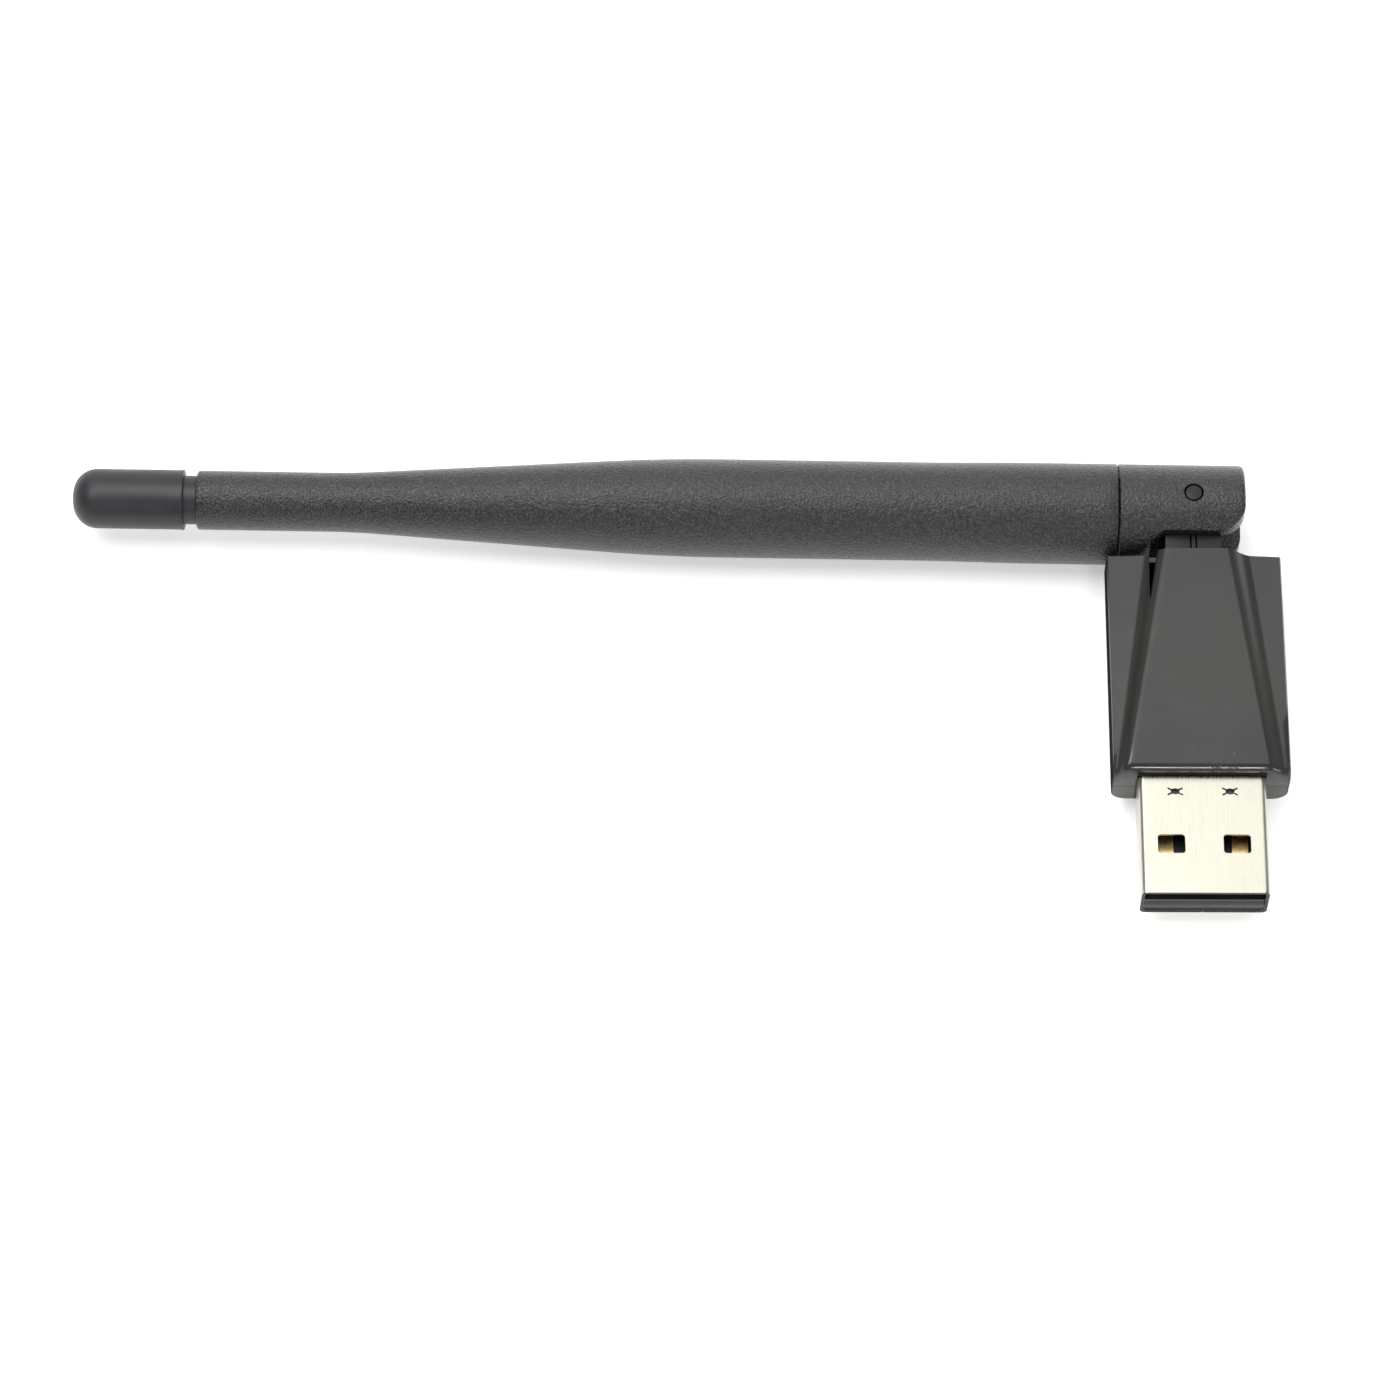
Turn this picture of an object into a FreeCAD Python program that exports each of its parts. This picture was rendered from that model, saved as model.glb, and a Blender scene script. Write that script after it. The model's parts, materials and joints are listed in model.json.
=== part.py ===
import FreeCAD, Part
import os
import Sketcher

# USB wireless adapter with a folding, swivelling aerial, lying on its back.
# Millimetres.  Origin: the plug's centre line where it enters the housing.
# +X to the adapter's right, +Y from the plug towards the hinge, +Z up.

doc = FreeCAD.newDocument("wifi_adapter")
sheet = doc.addObject("Spreadsheet::Sheet", "dims")

DIMENSIONS = [
    # housing, two halves that part at z = 0
    ("housing_length", 23.35),
    ("housing_half_width", 8.35),
    ("housing_top", 3.75),
    ("housing_depth", 2.75),
    ("wall", 1.1),
    ("floor", 0.8),
    ("skin", 0.95),
    ("edge_inset", 0.55),
    ("edge_drop", 0.6),
    ("bottom_round", 1.5),
    ("end_round", 0.35),
    ("end_bevel", 0.22),
    ("hinge_panel_half", 3.17),
    ("hinge_crease_half", 4.05),
    ("hinge_valley_half", 5.5),
    ("hinge_crease_height", 2.4),
    ("hinge_wing_height", 2.0),
    ("plug_panel_half", 6.5),
    ("plug_crease_half", 6.8),
    ("plug_valley_half", 7.25),
    ("plug_crease_height", 3.1),
    ("plug_wing_height", 2.85),
    # plug
    ("plug_length", 12.0),
    ("plug_width", 12.0),
    ("plug_height", 4.5),
    ("plug_tail", 4.0),
    ("plug_sheet", 0.3),
    ("plug_edge_round", 0.55),
    ("plug_fit", 0.04),
    ("window_width", 2.55),
    ("window_depth", 1.9),
    ("window_offset", 3.07),
    ("window_back", 6.95),
    ("crimp_width", 1.0),
    ("crimp_depth", 0.5),
    ("crimp_offset", 2.57),
    ("crimp_back", 1.56),
    ("seam_width", 0.12),
    ("tongue_top", 0.1),
    ("tongue_reach", 11.6),
    ("tongue_step", 0.2),
    ("tongue_chamfer", 0.85),
    ("block_front", 1.9),
    ("block_back_gap", 0.3),
    ("insulator_play", 0.05),
    # contacts
    ("contact_sheet", 0.2),
    ("outer_contact_offset", 3.5),
    ("inner_contact_offset", 1.0),
    ("outer_contact_width", 1.5),
    ("inner_contact_width", 1.0),
    ("outer_contact_reach", 10.9),
    ("inner_contact_reach", 10.0),
    ("contact_foot", 1.5),
    # circuit board
    ("board_start", 4.2),
    ("board_length", 16.0),
    ("board_width", 13.2),
    ("board_thickness", 0.8),
    ("board_top", 0.565),
    ("ledge_width", 0.8),
    ("ledge_inset", 1.0),
    ("board_corner", 0.4),
    ("chip_start", 10.2),
    ("chip_side", 5.0),
    ("chip_height", 0.85),
    ("dimple_radius", 0.3),
    ("dimple_depth", 0.1),
    ("dimple_inset", 0.6),
    ("crystal_offset", 4.6),
    ("crystal_start", 10.6),
    ("crystal_width", 2.5),
    ("crystal_length", 3.2),
    ("crystal_height", 0.7),
    ("crystal_round", 0.35),
    ("regulator_offset", 4.5),
    ("regulator_start", 7.2),
    ("regulator_width", 1.6),
    ("regulator_length", 2.9),
    ("regulator_height", 1.1),
    ("regulator_lift", 0.1),
    ("leg_reach", 0.6),
    ("leg_width", 0.4),
    ("leg_height", 0.25),
    ("leg_pitch", 0.95),
    ("inductor_offset", 4.7),
    ("inductor_start", 11.4),
    ("inductor_width", 2.0),
    ("inductor_length", 2.5),
    ("inductor_height", 1.2),
    # swivel
    ("barrel_radius", 1.5),
    ("bore_play", 0.05),
    ("flange_radius", 1.85),
    ("flange_thickness", 1.0),
    ("flange_play", 0.1),
    ("rib_play", 0.05),
    ("lug_width", 0.6),
    ("lug_height", 0.65),
    ("lug_depth", 0.55),
    ("tongue_half_width", 2.68),
    ("tongue_half_height", 2.4),
    ("tongue_gap", 0.2),
    ("tongue_round", 0.25),
    ("slit_width", 0.16),
    ("slit_offset", 0.26),
    ("slit_margin", 0.3),
    ("cable_bore_radius", 0.75),
    ("cable_slot_half", 0.75),
    # hinge
    ("hinge_reach", 28.82),
    ("lean", 0.8),
    ("trunnion_radius", 0.82),
    ("trunnion_play", 0.09),
    ("trunnion_top", 4.78),
    ("fork_radius", 4.87),
    ("fork_end", 5.0),
    ("fork_seam", 7.05),
    ("fork_slot_half", 2.5),
    ("fork_slot_reach", 4.0),
    ("fork_flat", 3.4),
    ("fork_corner", 2.5),
    ("fork_edge_round", 0.4),
    ("fork_heel", 0.15),
    ("fork_spigot_end", 13.0),
    ("fork_bore_radius", 1.0),
    # aerial tube, stations measured from the hinge pin
    ("seam_gap", 0.1),
    ("tube_base_end", 15.0),
    ("tube_mid_start", 26.0),
    ("tube_mid_radius", 4.75),
    ("bulge_start", 45.0),
    ("bulge_length", 11.0),
    ("taper_slope", 0.0625),
    ("taper_length", 22.5),
    ("hollow_length", 4.5),
    ("tube_end", 95.7),
    ("tube_end_chamfer", 0.25),
    ("tube_wall", 1.25),
    ("spigot_fit", 0.02),
    # tip cap
    ("neck_radius", 2.36),
    ("cap_start", 96.95),
    ("cap_end", 107.67),
    ("cap_radius", 2.88),
    ("cap_nose_round", 2.35),
    ("cap_edge_round", 0.12),
    ("cap_spigot_start", 90.0),
    # cable and radiator
    ("cable_radius", 0.565),
    ("cable_split", 0.1),
    ("cable_start", 17.3),
    ("sleeve_start", 40.0),
    ("sleeve_end", 64.0),
    ("sleeve_radius", 2.2),
    ("sleeve_sheet", 0.3),
    ("core_radius", 0.45),
    ("core_end", 70.0),
    ("wire_radius", 0.2),
    ("wire_end", 88.0),
    ("shrink_start", 58.0),
    ("shrink_sheet", 0.25),
]


def fill_sheet():
    """One row for each driving dimension: its name, then its value."""
    for row, (name, size) in enumerate(DIMENSIONS, start=1):
        sheet.set(f"A{row}", name)
        sheet.set(f"B{row}", str(size))
        sheet.setAlias(f"B{row}", name)
    doc.recompute()


def number(expression):
    """The value of an expression over the sheet's cells."""
    result = sheet.evalExpression(str(expression).replace("dims.", ""))
    return float(getattr(result, "Value", result))


# ---------------------------------------------------------------- helpers

def new_body(label):
    body = doc.addObject("PartDesign::Body", label)
    body.Label = label
    return body


def new_sketch(body, name, role, offset="0"):
    """An empty sketch on one of the body's own origin planes."""
    sketch = body.newObject("Sketcher::SketchObject", f"{body.Name}_{name}")
    for datum in body.Origin.OriginFeatures:
        if datum.Role == role:
            sketch.AttachmentSupport = [(datum, "")]
    sketch.MapMode = "FlatFace"
    sketch.setExpression("AttachmentOffset.Base.z", offset)
    return sketch


def bind(sketch, constraint, expression):
    """Adds a dimension and ties it to the sheet."""
    index = sketch.addConstraint(constraint)
    sketch.setExpression(f"Constraints[{index}]", expression)


def arc_between(start, end, radius, turn):
    """The short arc from start to end; turn is 1 anticlockwise, -1 clockwise."""
    chord = end - start
    middle = (start + end) * 0.5
    rise = (radius ** 2 - (chord.Length / 2) ** 2) ** 0.5
    across = FreeCAD.Vector(-chord.y, chord.x, 0).normalize()
    centre = middle + across * rise * turn
    first, last = (start, end) if turn > 0 else (end, start)
    circle = Part.Circle(centre, FreeCAD.Vector(0, 0, 1), radius)
    return Part.ArcOfCircle(circle, circle.parameter(first), circle.parameter(last))


def outline(sketch, corners, arcs=None):
    """A closed outline.  corners are pairs of expressions; arcs gives, for a
    corner's number, the radius and turn of the arc that leaves it."""
    arcs = arcs or {}
    points = [FreeCAD.Vector(number(x), number(y), 0) for x, y in corners]
    first = sketch.GeometryCount
    count = len(points)
    ends = []
    for i, start in enumerate(points):
        end = points[(i + 1) % count]
        if i in arcs:
            radius, turn = arcs[i]
            sketch.addGeometry(arc_between(start, end, number(radius), turn), False)
            ends.append((1, 2) if turn > 0 else (2, 1))
        else:
            sketch.addGeometry(Part.LineSegment(start, end), False)
            ends.append((1, 2))
    for i in range(count):
        following = (i + 1) % count
        joint = (first + i, ends[i][1], first + following, ends[following][0])
        sketch.addConstraint(Sketcher.Constraint("Coincident", *joint))
    for i, (x, y) in enumerate(corners):
        corner = (-1, 1, first + i, ends[i][0])
        bind(sketch, Sketcher.Constraint("DistanceX", *corner, points[i].x), x)
        bind(sketch, Sketcher.Constraint("DistanceY", *corner, points[i].y), y)
    for i, (radius, turn) in arcs.items():
        bind(sketch, Sketcher.Constraint("Radius", first + i, number(radius)), radius)


def rectangle(sketch, left, right, low, high):
    outline(sketch, [(left, low), (right, low), (right, high), (left, high)])


def disc(sketch, radius, x="0", y="0"):
    """A circle with its centre at x, y."""
    centre = FreeCAD.Vector(number(x), number(y), 0)
    index = sketch.addGeometry(Part.Circle(centre, FreeCAD.Vector(0, 0, 1), number(radius)), False)
    bind(sketch, Sketcher.Constraint("Radius", index, number(radius)), radius)
    bind(sketch, Sketcher.Constraint("DistanceX", -1, 1, index, 3, centre.x), x)
    bind(sketch, Sketcher.Constraint("DistanceY", -1, 1, index, 3, centre.y), y)


def prism(body, kind, sketch, length, both_ways=False, backwards=False):
    """A Pad or Pocket of a sketch."""
    feature = body.newObject(f"PartDesign::{kind}", f"{sketch.Name}_{kind.lower()}")
    feature.Profile = sketch
    feature.Midplane = both_ways
    feature.Reversed = backwards
    feature.setExpression("Length", length)
    return feature


def loft(body, kind, sections):
    feature = body.newObject(f"PartDesign::{kind}", f"{sections[0].Name}_loft")
    feature.Profile = sections[0]
    feature.Sections = sections[1:]
    feature.Ruled = True
    return feature


def turn(body, kind, sketch):
    """A Revolution or Groove of a sketch about its own horizontal axis."""
    feature = body.newObject(f"PartDesign::{kind}", f"{sketch.Name}_{kind.lower()}")
    feature.Profile = sketch
    feature.ReferenceAxis = (sketch, ["H_Axis"])
    feature.Angle = 360
    return feature


def round_edges(body, base, radius, chosen, kind="Fillet"):
    """Rounds the edges of base for which chosen(edge's box) holds."""
    doc.recompute()
    names = []
    for i, edge in enumerate(base.Shape.Edges, start=1):
        if chosen(edge.BoundBox):
            names.append(f"Edge{i}")
    feature = body.newObject(f"PartDesign::{kind}", f"{base.Name}_{kind.lower()}")
    feature.Base = (base, names)
    feature.setExpression("Radius" if kind == "Fillet" else "Size", radius)
    return feature


def near(value, target, slack=0.01):
    return abs(value - target) < slack


def box(name, x, y, z, sizes):
    """A block centred on x, standing from y and z; all are expressions."""
    block = doc.addObject("Part::Box", name)
    width, length, height = sizes
    block.setExpression("Length", width)
    block.setExpression("Width", length)
    block.setExpression("Height", height)
    block.setExpression("Placement.Base.x", f"{x} - ({width})/2")
    block.setExpression("Placement.Base.y", y)
    block.setExpression("Placement.Base.z", z)
    return block


def joined(kind, label, pieces):
    """A fuse, or a compound that keeps its pieces as separate solids."""
    whole = doc.addObject(f"Part::{kind}", label)
    if kind == "Compound":
        whole.Links = pieces
    else:
        whole.Shapes = pieces
    whole.Label = label
    return whole


def lay_along_aerial(body):
    """Local -X is the aerial's axis and the origin its hinge axis."""
    body.setExpression("Placement.Base.y", "dims.hinge_reach")
    body.Placement.Rotation = FreeCAD.Rotation(FreeCAD.Vector(0, 0, 1), -number("dims.lean"))
    body.setExpression("Placement.Rotation.Angle", "dims.lean")
    body.Placement.Rotation.Axis = FreeCAD.Vector(0, 0, -1)


# ---------------------------------------------------------------- housing

def roof_section(end, inset="0"):
    """Corners of the top half's outline at one end, left to right.
    The raised panel narrows to the hinge end between two sunken wings."""
    half = f"(dims.housing_half_width - {inset})"
    wing = f"(dims.{end}_wing_height - {inset})"
    right = [
        (f"dims.{end}_panel_half - {inset}*0.6", f"dims.housing_top - {inset}"),
        (f"dims.{end}_crease_half - {inset}*0.6", f"dims.{end}_crease_height - {inset}"),
        (f"dims.{end}_valley_half - {inset}*0.6", wing),
        (f"{half} - dims.edge_inset", wing),
        (half, f"{wing} - dims.edge_drop"),
        (half, "0"),
    ]
    left = [(f"-({x})", z) for x, z in reversed(right)]
    return left + right


def cut_plug_tunnel(body, low, high):
    """The opening that holds the plug, in one half of the housing."""
    sketch = new_sketch(body, "tunnel", "XZ_Plane")
    reach = "dims.plug_width/2 + dims.plug_fit"
    rectangle(sketch, f"-({reach})", reach, low, high)
    prism(body, "Pocket", sketch, "dims.plug_tail + 0.3")


def cut_swivel_bore(body):
    """The round bearing for the swivel's barrel in the hinge-end wall."""
    sketch = new_sketch(body, "bore", "XZ_Plane", "-dims.housing_length")
    disc(sketch, "dims.barrel_radius + dims.bore_play")
    return prism(body, "Pocket", sketch, "dims.wall + 0.2", backwards=True)


def roof_sketch(body, name, end, station, inset="0"):
    """The outline of one end, inset all round, on a plane at a station along Y."""
    sketch = new_sketch(body, name, "XZ_Plane", f"-({station})")
    outline(sketch, roof_section(end, inset))
    return sketch


def top_shell():
    """Both end outlines are drawn in a little, which bevels the end edges."""
    body = new_body("top_shell")
    bevel = "dims.end_bevel"
    sections = [
        roof_sketch(body, "front_face", "plug", "0", bevel),
        roof_sketch(body, "front", "plug", bevel),
        roof_sketch(body, "back", "hinge", f"dims.housing_length - {bevel}"),
        roof_sketch(body, "back_face", "hinge", "dims.housing_length", bevel),
    ]
    loft(body, "AdditiveLoft", sections)
    hollow = [
        roof_sketch(body, "hollow_front", "plug", "dims.wall", "dims.skin"),
        roof_sketch(body, "hollow_back", "hinge", "dims.housing_length - dims.wall", "dims.skin"),
    ]
    loft(body, "SubtractiveLoft", hollow)
    cut_plug_tunnel(body, "-1", "dims.plug_height/2 + dims.plug_fit")
    cut_swivel_bore(body)


def bottom_shell():
    body = new_body("bottom_shell")
    sketch = new_sketch(body, "outline", "XZ_Plane")
    rectangle(sketch, "-dims.housing_half_width", "dims.housing_half_width", "-dims.housing_depth", "0")
    block = prism(body, "Pad", sketch, "dims.housing_length", backwards=True)
    floor = -number("dims.housing_depth")
    length = number("dims.housing_length")

    def long_low_edge(place):
        return near(place.ZMax, floor) and place.YLength > length - 1

    rounded = round_edges(body, block, "dims.bottom_round", long_low_edge)

    def end_outline(place):
        at_end = near(place.YMax, 0) or near(place.YMin, length)
        return at_end and near(place.YMin, place.YMax) and not near(place.ZMin, 0)

    round_edges(body, rounded, "dims.end_round", end_outline)
    cavity = new_sketch(body, "cavity", "XY_Plane")
    side = "dims.housing_half_width - dims.wall"
    rectangle(cavity, f"-({side})", side, "dims.wall", "dims.housing_length - dims.wall")
    prism(body, "Pocket", cavity, "dims.housing_depth - dims.floor")
    cut_plug_tunnel(body, "-dims.plug_height/2 - dims.plug_fit", "1")
    cut_swivel_bore(body)
    board_ledges(body)
    stop_rib(body)


def board_ledges(body):
    """Two ledges along the side walls that carry the circuit board."""
    sketch = new_sketch(body, "ledges", "XZ_Plane", "-dims.board_start - dims.ledge_inset")
    floor = "dims.floor - dims.housing_depth"
    under_board = "-dims.board_top - dims.board_thickness"
    outside = "(dims.housing_half_width - dims.wall)"
    inside = f"({outside} - dims.ledge_width)"
    rectangle(sketch, f"-{outside}", f"-{inside}", floor, under_board)
    rectangle(sketch, inside, outside, floor, under_board)
    prism(body, "Pad", sketch, "dims.board_length - 2*dims.ledge_inset", backwards=True)


def stop_rib(body):
    """The rib that the swivel's lug meets at the ends of its travel."""
    sketch = new_sketch(body, "stop", "XZ_Plane", f"-({FLANGE_FRONT} - dims.rib_play)")
    floor = "dims.floor - dims.housing_depth"
    rectangle(sketch, "-dims.lug_width/2", "dims.lug_width/2", floor, f"{floor} + dims.lug_height")
    prism(body, "Pad", sketch, "dims.lug_depth")


# ---------------------------------------------------------------- plug

def usb_shell():
    body = new_body("usb_shell")
    side = "dims.plug_width/2"
    rise = "dims.plug_height/2"
    sketch = new_sketch(body, "outline", "XZ_Plane", "dims.plug_length")
    rectangle(sketch, f"-{side}", side, f"-{rise}", rise)
    whole = "dims.plug_length + dims.plug_tail"
    block = prism(body, "Pad", sketch, whole, backwards=True)

    def long_edge(place):
        return place.YLength > number("dims.plug_length")

    round_edges(body, block, "dims.plug_edge_round", long_edge)
    hollow = new_sketch(body, "hollow", "XZ_Plane", "dims.plug_length")
    inner_side = "(dims.plug_width/2 - dims.plug_sheet)"
    inner_rise = "(dims.plug_height/2 - dims.plug_sheet)"
    bend = "(dims.plug_edge_round - dims.plug_sheet)"
    corners = [
        (f"-{inner_side} + {bend}", f"-{inner_rise}"),
        (f"{inner_side} - {bend}", f"-{inner_rise}"),
        (inner_side, f"-{inner_rise} + {bend}"),
        (inner_side, f"{inner_rise} - {bend}"),
        (f"{inner_side} - {bend}", inner_rise),
        (f"-{inner_side} + {bend}", inner_rise),
        (f"-{inner_side}", f"{inner_rise} - {bend}"),
        (f"-{inner_side}", f"-{inner_rise} + {bend}"),
    ]
    outline(hollow, corners, {i: (bend, 1) for i in (1, 3, 5, 7)})
    prism(body, "Pocket", hollow, whole)
    windows = new_sketch(body, "windows", "XY_Plane")
    seat = new_sketch(body, "crimps", "XY_Plane", "dims.plug_height/2")
    for sign in ("-", ""):
        middle = f"{sign}dims.window_offset"
        across = "dims.window_width/2"
        along = "dims.window_depth/2"
        rectangle(windows, f"{middle} - {across}", f"{middle} + {across}",
                  f"-dims.window_back - {along}", f"-dims.window_back + {along}")
        middle = f"{sign}dims.crimp_offset"
        across = "dims.crimp_width/2"
        along = "dims.crimp_depth/2"
        rectangle(seat, f"{middle} - {across}", f"{middle} + {across}",
                  f"-dims.crimp_back - {along}", f"-dims.crimp_back + {along}")
    prism(body, "Pocket", windows, "dims.plug_height + 2", both_ways=True)
    prism(body, "Pocket", seat, "dims.plug_sheet")
    seam = new_sketch(body, "seam", "XY_Plane", "-dims.plug_height/2")
    rectangle(seam, "-dims.seam_width/2", "dims.seam_width/2", "-dims.plug_length", "dims.plug_tail")
    prism(body, "Pocket", seam, "dims.plug_sheet/2", backwards=True)


CONTACTS = [("outer", "-"), ("inner", "-"), ("inner", ""), ("outer", "")]
BLOCK_BACK = "dims.plug_tail - dims.block_back_gap"


def usb_insulator():
    """A tongue in the plug's lower half and a block that fills its back."""
    body = new_body("usb_insulator")
    profile = new_sketch(body, "profile", "YZ_Plane")
    rise = "(dims.plug_height/2 - dims.plug_sheet - dims.insulator_play)"
    lip = "-dims.tongue_reach - dims.tongue_step"
    corners = [
        (lip, f"-{rise}"),
        (BLOCK_BACK, f"-{rise}"),
        (BLOCK_BACK, rise),
        ("-dims.block_front", rise),
        ("-dims.block_front", "-dims.tongue_top"),
        ("-dims.tongue_reach", "-dims.tongue_top"),
        ("-dims.tongue_reach", "dims.tongue_step - dims.tongue_top - dims.tongue_chamfer"),
        (lip, "-dims.tongue_top - dims.tongue_chamfer"),
    ]
    outline(profile, corners)
    width = "dims.plug_width - 2*dims.plug_sheet - 2*dims.insulator_play"
    block = prism(body, "Pad", profile, width, both_ways=True)

    def long_outer_edge(place):
        outer = near(abs(place.XMin), number(width) / 2) and near(place.XMin, place.XMax)
        level = near(place.ZMin, place.ZMax)
        return outer and level and near(abs(place.ZMin), number(rise))

    round_edges(body, block, "dims.plug_edge_round - dims.plug_sheet", long_outer_edge)
    slots = new_sketch(body, "slots", "XZ_Plane", "dims.block_front")
    for kind, sign in CONTACTS:
        middle = f"{sign}dims.{kind}_contact_offset"
        half = f"dims.{kind}_contact_width/2"
        rectangle(slots, f"{middle} - {half}", f"{middle} + {half}",
                  "-dims.tongue_top", "dims.contact_sheet - dims.tongue_top")
    prism(body, "Pocket", slots, "dims.block_front + dims.plug_tail")


def usb_contacts():
    """Four strips: along the tongue, down behind the block, on to the board."""
    strips = []
    sheet_metal = "dims.contact_sheet"
    bend = BLOCK_BACK
    for place, (kind, sign) in enumerate(CONTACTS):
        x = f"{sign}dims.{kind}_contact_offset"
        width = f"dims.{kind}_contact_width"
        reach = f"dims.{kind}_contact_reach"
        name = f"contact_{place}"
        blade = box(f"{name}_blade", x, f"-{reach}", "-dims.tongue_top",
                    (width, f"{reach} + {bend}", sheet_metal))
        drop = box(f"{name}_drop", x, bend, "-dims.board_top",
                   (width, sheet_metal, "dims.board_top - dims.tongue_top + dims.contact_sheet"))
        foot = box(f"{name}_foot", x, bend, "-dims.board_top",
                   (width, f"dims.board_start - ({bend}) + dims.contact_foot", sheet_metal))
        strips.append(joined("MultiFuse", name, [blade, drop, foot]))
    joined("Compound", "usb_contacts", strips)


# ---------------------------------------------------------------- circuit

def circuit_board():
    body = new_body("circuit_board")
    sketch = new_sketch(body, "outline", "XY_Plane", "-dims.board_top - dims.board_thickness")
    side = "dims.board_width/2"
    rectangle(sketch, f"-{side}", side, "dims.board_start", "dims.board_start + dims.board_length")
    board = prism(body, "Pad", sketch, "dims.board_thickness")

    def upright(place):
        return place.ZLength > number("dims.board_thickness") - 0.01 and place.XLength < 0.01

    round_edges(body, board, "dims.board_corner", upright, "Chamfer")


ON_BOARD = "-dims.board_top"


def wifi_chip():
    """A square leadless chip with a dimple at its first corner."""
    size = ("dims.chip_side", "dims.chip_side", "dims.chip_height")
    case = box("chip_case", "0", "dims.chip_start", ON_BOARD, size)
    dimple = doc.addObject("Part::Cylinder", "chip_dimple")
    dimple.setExpression("Radius", "dims.dimple_radius")
    dimple.setExpression("Height", "dims.chip_height")
    dimple.setExpression("Placement.Base.x", "dims.dimple_inset - dims.chip_side/2")
    dimple.setExpression("Placement.Base.y", "dims.chip_start + dims.dimple_inset")
    dimple.setExpression("Placement.Base.z", "dims.chip_height - dims.dimple_depth - dims.board_top")
    chip = doc.addObject("Part::Cut", "wifi_chip")
    chip.Base = case
    chip.Tool = dimple
    chip.Label = "wifi_chip"


def crystal():
    """A metal can with rounded upright corners."""
    size = ("dims.crystal_width", "dims.crystal_length", "dims.crystal_height")
    can = box("crystal_can", "-dims.crystal_offset", "dims.crystal_start", ON_BOARD, size)
    doc.recompute()
    rounded = doc.addObject("Part::Fillet", "crystal")
    rounded.Base = can
    height = number("dims.crystal_height")
    upright = [i for i, edge in enumerate(can.Shape.Edges, start=1) if near(edge.BoundBox.ZLength, height)]
    radius = number("dims.crystal_round")
    rounded.Edges = [(i, radius, radius) for i in upright]
    rounded.Label = "crystal"


def voltage_regulator():
    """A five-legged regulator: two legs on one side, three on the other."""
    size = ("dims.regulator_width", "dims.regulator_length", "dims.regulator_height")
    middle = "dims.regulator_start + dims.regulator_length/2 - dims.leg_width/2"
    pieces = [box("regulator_case", "dims.regulator_offset", "dims.regulator_start",
                  f"dims.regulator_lift + {ON_BOARD}", size)]
    leg = ("dims.leg_reach", "dims.leg_width", "dims.leg_height")
    reach = "(dims.regulator_width/2 + dims.leg_reach/2 - 0.05)"
    for side, rows in (("-", (-1, 1)), ("+", (-1, 0, 1))):
        for row in rows:
            pieces.append(box(f"regulator_leg_{len(pieces)}", f"dims.regulator_offset {side} {reach}",
                              f"{middle} + {row}*dims.leg_pitch", ON_BOARD, leg))
    joined("MultiFuse", "voltage_regulator", pieces)


def power_inductor():
    size = ("dims.inductor_width", "dims.inductor_length", "dims.inductor_height")
    block = box("power_inductor", "dims.inductor_offset", "dims.inductor_start", ON_BOARD, size)
    block.Label = "power_inductor"


def chip_parts(label, places, sizes):
    """Many small surface parts of one size, one solid each."""
    parts = []
    for i, (x, y) in enumerate(places):
        parts.append(box(f"{label}_{i}", str(x), str(y), ON_BOARD, sizes))
    joined("Compound", label, parts)


def chip_capacitors():
    left = [(-4.9, 7.0 + 1.2 * step) for step in range(3)]
    right = [(3.6, 15.0), (5.0, 15.0), (5.0, 16.4)]
    chip_parts("chip_capacitors", left + right, ("1.0", "0.5", "0.5"))


def chip_resistors():
    row = [(-2.4 + 1.2 * step, 8.7) for step in range(5)]
    chip_parts("chip_resistors", row + [(-4.6, 15.2)], ("0.5", "1.0", "0.35"))


# ---------------------------------------------------------------- cable

def rod(label, radius, start, end):
    """A round rod along +Y on the adapter's axis, from start to end."""
    piece = doc.addObject("Part::Cylinder", label)
    piece.Label = label
    piece.setExpression("Radius", radius)
    piece.setExpression("Height", f"{end} - ({start})")
    piece.Placement.Rotation = FreeCAD.Rotation(FreeCAD.Vector(1, 0, 0), -90)
    piece.setExpression("Placement.Base.y", start)
    return piece


FLANGE_FRONT = "dims.housing_length - dims.wall - dims.flange_play - dims.flange_thickness"
CABLE_SPLIT = f"{FLANGE_FRONT} - dims.lug_depth - 0.1"


def housing_cable():
    rod("coax_housing", "dims.cable_radius", "dims.cable_start", f"{CABLE_SPLIT} - dims.cable_split")


def coax_solder():
    """Solder that grips the cable's braid, and a drop on its bared core."""
    pool = box("solder_pool", "0", "dims.cable_start + 0.3", ON_BOARD, ("2.4", "1.5", "0.6"))
    groove = rod("solder_groove", "dims.cable_radius", "dims.cable_start", "dims.cable_start + 3")
    collar = doc.addObject("Part::Cut", "solder_collar")
    collar.Base = pool
    collar.Tool = groove
    drop = doc.addObject("Part::Cone", "solder_drop")
    drop.Radius1 = 0.55
    drop.Radius2 = 0.2
    drop.Height = 0.75
    drop.setExpression("Placement.Base.y", "dims.cable_start - 0.6")
    drop.setExpression("Placement.Base.z", ON_BOARD)
    joined("Compound", "coax_solder", [collar, drop])


def coax_stem():
    """The cable through the swivel, ending in a ball on the hinge axis."""
    run = rod("stem_run", "dims.cable_radius", CABLE_SPLIT, "dims.hinge_reach")
    ball = doc.addObject("Part::Sphere", "stem_ball")
    ball.setExpression("Radius", "dims.cable_radius")
    ball.setExpression("Placement.Base.y", "dims.hinge_reach")
    joined("MultiFuse", "coax_stem", [run, ball])


# ---------------------------------------------------------------- swivel

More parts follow.
